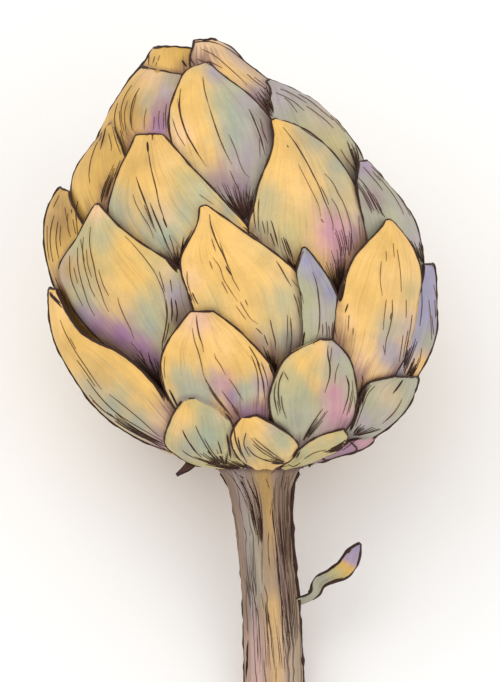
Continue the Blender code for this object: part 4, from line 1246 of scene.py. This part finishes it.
def build_strip(name, strip, node, material):
    """A thin folded strip along a smooth midline."""
    columns, rows = (cells + 1 for cells in strip.cells)
    data = [(*point, width, twist) for point, width, twist in zip(strip.line, strip.widths, strip.twists)]
    rail = np.array([through(data, place) for place in np.linspace(0, len(data) - 1, rows)])
    outer, inner = [], []
    across = np.linspace(-1, 1, columns)
    for row in range(rows):
        point = Vector(rail[row, :3])
        ahead = Vector(rail[min(row + 1, rows - 1), :3] - rail[max(row - 1, 0), :3])
        twist = Matrix.Rotation(math.radians(rail[row, 4]), 3, ahead)
        side = twist @ Vector((0, 1, 0)).cross(ahead).normalized()
        fold = side.cross(ahead).normalized()
        half = max(rail[row, 3], STRIP_LEAST_WIDTH) / 2
        for out in across:
            middle = point + side * out * half + fold * (out * out) * half * STRIP_FOLD
            middle += fold * STRIP_RIPPLE * math.sin(out * 9 + row * 0.2)
            thick = strip.thickness / 2 * (1 - 0.5 * abs(out) ** 3)
            outer.append(middle - fold * thick)
            inner.append(middle + fold * thick)
    points = np.array([tuple(place) for place in outer + inner])
    along = np.repeat(np.linspace(0, 1, rows), columns)
    across = np.tile(across, rows)
    stops, paints = zip(*strip.paints)
    colours = [np.interp(along, stops, shades) for shades in zip(*map(linear, paints))]
    length = float(np.linalg.norm(np.diff(rail[:, :3], axis=0), axis=1).sum())
    half = np.interp(along, np.linspace(0, 1, rows), rail[:, 3]) / 2
    values = {
        "grain": np.stack([across * half.max(), along * length, np.full_like(across, 3.0)], -1),
        "squeeze": half / half.max(),
        "edge": (1 - np.abs(across)) * half,
        # Distance from its root, so that the painted contact shade lies at the root
        "near": along * length,
        "corner": np.full(len(across), FAR),
        "shown": np.ones(len(across)),
    }
    make_piece(
        name, node, material, points, shell_faces(columns, rows), two(np.stack(colours, -1)),
        {key: two(data) for key, data in values.items()},
    )  # fmt: skip
    return points[: len(along)].reshape(rows, columns, 3)


# Materials


class Graph:
    """A material's nodes, each made and wired in one call."""

    def __init__(self, name):
        self.material = bpy.data.materials.new(name)
        self.material.use_nodes = True
        self.nodes = self.material.node_tree.nodes
        self.links = self.material.node_tree.links
        self.shader = self.nodes["Principled BSDF"]

    def node(self, kind, inputs=(), output=0, **settings):
        node = self.nodes.new(kind)
        for key, value in settings.items():
            setattr(node, key, value)
        for key, value in dict(inputs).items():
            self.put(node.inputs[key], value)
        return node.outputs[output]

    def put(self, socket, value):
        if isinstance(value, bpy.types.NodeSocket):
            self.links.new(value, socket)
        else:
            socket.default_value = value

    def math(self, operation, *values):
        return self.node("ShaderNodeMath", enumerate(values), operation=operation)

    def plus(self, one, other):
        return self.math("ADD", one, other)

    def minus(self, one, other):
        return self.math("SUBTRACT", one, other)

    def times(self, one, other):
        return self.math("MULTIPLY", one, other)

    def scaled(self, vector, factors):
        return self.node("ShaderNodeVectorMath", {0: vector, 1: factors}, operation="MULTIPLY")

    def place(self, scale=1 / MM):
        """The shaded point, in mm unless another scale is given."""
        return self.scaled(self.node("ShaderNodeNewGeometry"), (scale, scale, scale))

    def step(self, value, low, high, bottom=0.0, top=1.0):
        inputs = {"Value": value, "From Min": low, "From Max": high, "To Min": bottom, "To Max": top}
        return self.node("ShaderNodeMapRange", inputs, interpolation_type="SMOOTHSTEP")

    def mix(self, share, under, over):
        node = self.nodes.new("ShaderNodeMix")
        node.data_type = "RGBA"
        for key, value in (("Factor", share), ("A", under), ("B", over)):
            self.put(node.inputs[key], value)
        return node.outputs["Result"]

    def attribute(self, name, output="Fac"):
        return self.node("ShaderNodeAttribute", output=output, attribute_name=name)

    def noise(self, vector, scale, detail=2.0, roughness=0.5):
        inputs = {"Vector": vector, "Scale": scale, "Detail": detail, "Roughness": roughness}
        return self.node("ShaderNodeTexNoise", inputs)

    def painted(self, value, saturation=1.0):
        """The mesh's own paint, made lighter or darker."""
        inputs = {"Value": value, "Saturation": saturation, "Color": self.attribute("paint", "Color")}
        return self.node("ShaderNodeHueSaturation", inputs)

    def finished(self, colour, roughness, specular, height=None, depth=0.0):
        """The material, with its colour, sheen and fine relief on its shader."""
        self.put(self.shader.inputs["Base Color"], colour)
        self.put(self.shader.inputs["Roughness"], roughness)
        self.shader.inputs["Specular IOR Level"].default_value = specular
        if height is not None:
            inputs = {"Strength": RELIEF_STRENGTH, "Distance": depth, "Height": height}
            self.put(self.shader.inputs["Normal"], self.node("ShaderNodeBump", inputs))
        return self.material


def strokes(g, grain, squeeze, kind, near=None):
    """Thin strokes along the grain, each at a random place along it, or out from the covering margin."""
    across, along, number = g.node("ShaderNodeSeparateXYZ", {0: grain}).node.outputs
    slow = g.noise(g.scaled(grain, STROKE_SWAY_GRAIN), 1.0, 1.0)
    sway = g.times(g.minus(slow, 0.5), STROKE_SWAY)
    place = g.plus(g.math("DIVIDE", across, kind.spacing), g.plus(sway, kind.seed * STROKE_SEED_SHIFT))
    cell = g.math("FLOOR", place)
    offset = g.math("ABSOLUTE", g.minus(g.math("FRACT", place), 0.5))
    distance = g.times(g.times(offset, kind.spacing), squeeze)
    key = g.node("ShaderNodeCombineXYZ", {0: cell, 1: number, 2: kind.seed})
    white = g.node("ShaderNodeTexWhiteNoise", {"Vector": key}, output=1, noise_dimensions="3D")
    first, second, third = g.node("ShaderNodeSeparateColor", {0: white}).node.outputs
    length = g.plus(kind.shortest, g.times(second, kind.longest - kind.shortest))
    if near is None:
        centre = g.times(first, STROKE_SPREAD)
        reach = g.minus(g.times(length, 0.5), g.math("ABSOLUTE", g.minus(along, centre)))
    else:
        reach = g.minus(length, near)
    on = g.math("LESS_THAN", third, kind.density)
    body = g.step(reach, 0.0, STROKE_END)
    # A stroke is thickest in its body and thins out to its ends
    thick = g.times(kind.width, g.plus(STROKE_END_WIDTH, g.times(body, 1 - STROKE_END_WIDTH)))
    line = g.step(distance, g.times(thick, 0.5), thick, 1.0, 0.0)
    return g.times(g.times(line, body), on)


def bract_material():
    g = Graph("bract skin")
    grain = g.attribute("grain", "Vector")
    squeeze = g.attribute("squeeze")
    shown = g.attribute("shown")
    corner = g.attribute("corner")
    place = g.place()

    # Washes: blooms of lighter and darker colour, streaks along the grain, and a fine speckle
    bloom = g.noise(place, 0.16, 3.0, 0.6)
    speck = g.noise(place, 2.2, 3.0, 0.7)
    streak = g.noise(g.scaled(grain, (1.3, 0.09, 1.0)), 1.0, 3.0, 0.6)
    value = g.plus(g.step(bloom, 0.3, 0.7, 0.93, 1.06), g.step(streak, 0.25, 0.75, -0.07, 0.06))
    value = g.plus(value, g.step(speck, 0.3, 0.7, -0.035, 0.035))
    colour = g.painted(value, 1.03)

    # Veins, painted shade and hatched painted shade near the covering margins, and the dark margin. The
    # shown side has its veins as a piece, so that only a little of these strokes is left there.
    veins = g.times(strokes(g, grain, squeeze, BRACT_VEINS), g.step(shown, 0.0, 1.0, 0.8, 0.1))
    faint = strokes(g, grain, squeeze, FAINT_VEINS)
    # Hatching out from the corners between the bracts in front: painted shade, fainter on the shown side
    hatched_shade = g.times(strokes(g, grain, squeeze, SHADE_HATCHING, corner), g.step(shown, 0.0, 1.0, 1.0, 0.35))
    colour = g.mix(g.times(faint, 0.16), colour, VEIN_BROWN)
    colour = g.mix(veins, colour, VEIN_BROWN)
    # Painted shade: dark plum where the margins of two bracts in front meet, streaked along the grain
    shade = g.times(g.step(corner, 0.5, 7.0, 0.92, 0.0), g.step(streak, 0.2, 0.7, 1.0, 0.6))
    colour = g.mix(shade, colour, PAINTED_SHADE_PURPLE)
    # Painted shade: a narrow brown band beside the margins of the bracts in front
    colour = g.mix(g.step(g.attribute("near"), 0.0, 2.0, 0.58, 0.0), colour, PAINTED_CONTACT_SHADE)
    colour = g.mix(g.times(hatched_shade, 0.85), colour, MARGIN_AND_HATCHED_SHADE_INK)
    rim_width = g.step(g.noise(place, 0.5, 2.0), 0.3, 0.7, 0.16, 0.36)
    rim = g.step(g.attribute("edge"), g.times(rim_width, 0.6), rim_width, 1.0, 0.0)
    colour = g.mix(g.times(rim, 0.95), colour, MARGIN_AND_HATCHED_SHADE_INK)

    lines = g.plus(g.plus(veins, hatched_shade), g.times(faint, 0.5))
    height = g.minus(g.plus(g.times(streak, 0.6), g.times(speck, 0.2)), g.times(lines, 0.35))
    return g.finished(colour, g.step(speck, 0.3, 0.7, 0.5, 0.66), 0.3, height, 0.00025)


def line_material():
    g = Graph("ink lines")
    patch = g.step(g.noise(g.place(), 0.7, 3.0, 0.6), 0.3, 0.7, 0.8, 1.25)
    return g.finished(g.painted(patch), 0.65, 0.2)


def bud_material():
    g = Graph("bud")
    patch = g.step(g.noise(g.place(), 0.3, 3.0), 0.3, 0.7, 0.8, 1.2)
    return g.finished(g.painted(patch), 0.7, 0.5)


def stem_material():
    g = Graph("stem skin")
    grain = g.attribute("grain", "Vector")
    spread = g.attribute("spread")
    place = g.place()
    streak = g.noise(g.scaled(grain, (0.9, 0.05, 1.0)), 1.0, 4.0, 0.65)
    speck = g.noise(place, 1.8, 3.0, 0.7)
    value = g.plus(g.step(streak, 0.25, 0.75, 0.80, 1.12), g.step(speck, 0.3, 0.7, -0.05, 0.05))
    colour = g.painted(value)
    long_lines = strokes(g, grain, 1.0, LONG_STEM_LINES)
    colour = g.mix(g.times(strokes(g, grain, 1.0, FINE_STEM_LINES), 0.35), colour, STEM_INK)
    colour = g.mix(g.times(long_lines, 0.7), colour, STEM_INK)
    # The cut end: pale pith inside a greener ring, with dark dots of the cut fibres and a browned rim
    pith = g.mix(g.step(spread, 4.6, 6.6), PITH, GREEN_RING)
    dots = g.node("ShaderNodeTexVoronoi", {"Vector": place, "Scale": 0.75})
    pith = g.mix(g.step(dots, 0.12, 0.28, 0.55, 0.0), pith, FIBRE_BROWN)
    pith = g.mix(g.step(spread, 6.4, 7.2), pith, RIM_BROWN)
    colour = g.mix(g.attribute("cut"), colour, pith)
    height = g.minus(streak, g.times(long_lines, 0.4))
    return g.finished(colour, g.step(speck, 0.3, 0.7, 0.55, 0.7), 0.3, height, 0.0003)


# Floor, light and camera


def build_stage():
    bpy.ops.mesh.primitive_plane_add(size=FLOOR_SIZE)
    floor = bpy.context.object
    floor.name = "floor"
    g = Graph("pale floor")
    floor.data.materials.append(g.finished(g.mix(g.noise(g.place(1.0), 3.0), *FLOOR_WHITES), 0.9, 0.1))
    world = bpy.data.worlds.new("studio")
    world.use_nodes = True
    background = world.node_tree.nodes["Background"]
    background.inputs["Color"].default_value = SKY_WHITE
    background.inputs["Strength"].default_value = SKY_STRENGTH
    scene = bpy.context.scene
    scene.world = world
    for name, place, size, power in LAMPS:
        lamp(name, place, size, power)
    scene.view_settings.view_transform = "Standard"
    scene.view_settings.look = "None"


def lamp(name, place, size, power):
    """A soft square light that faces the plant."""
    data = bpy.data.lights.new(name, "AREA")
    data.shape = "SQUARE"
    data.size = size
    data.energy = power
    light = bpy.data.objects.new(name, data)
    light.location = place
    light.rotation_euler = (-Vector(place)).to_track_quat("-Z", "Y").to_euler()
    bpy.context.scene.collection.objects.link(light)


def build_camera():
    """A long lens that looks straight at the plant's shown side, with its axis upright in the picture."""
    data = bpy.data.cameras.new("camera")
    camera = bpy.data.objects.new("camera", data)
    bpy.context.scene.collection.objects.link(camera)
    right, down = ((size / 2 - pixel) * MM_PER_PIXEL for size, pixel in zip(PHOTO_SIZE, NECK_PIXEL))
    placed = lying()
    target = placed @ Vector((right, 0, -down))
    back = (placed.to_3x3() @ Vector((0, -1, 0))).normalized()
    up = (placed.to_3x3() @ Vector((0, 0, 1))).normalized()
    turned = Matrix((up.cross(back), up, back)).transposed().to_4x4()
    camera.matrix_world = Matrix.Translation(target + back * CAMERA_DISTANCE) @ turned
    data.sensor_width = CAMERA_SENSOR
    data.lens = CAMERA_SENSOR * CAMERA_DISTANCE / (PHOTO_SIZE[1] * MM_PER_PIXEL * MM)
    data.clip_end = CAMERA_REACH
    bpy.context.scene.camera = camera


def main():
    skin = bract_material()
    ink = line_material()
    build_head(skin, bud_material(), ink)
    stem = build_stem(stem_material())
    leaf = build_strip("stem_leaf", LEAF, "stem", skin)
    build_strip("spur", SPUR, "head", skin)
    below_head = stem[3:]
    outside_stem = leaf[8:]
    leaf_margin = [*outside_stem[:, 0], *leaf[-1, 1:-1], *outside_stem[::-1, -1]]
    lines = Lines()
    lines.cord(below_head[:, 0], STEM_CORD_RADIUS, 81)
    lines.cord(below_head[:, STEM_SIDES // 2], STEM_CORD_RADIUS, 82)
    lines.cord(leaf_margin, CORD_RADIUS, 83)
    lines.veins(STEM_VEINS_AND_SHADE, outer_tree([np.concatenate([stem, stem[:, :1]], 1), leaf]))
    lines.piece("stem_veins_and_shade", "stem", "stem_skin", ink)
    build_stage()
    build_camera()


main()
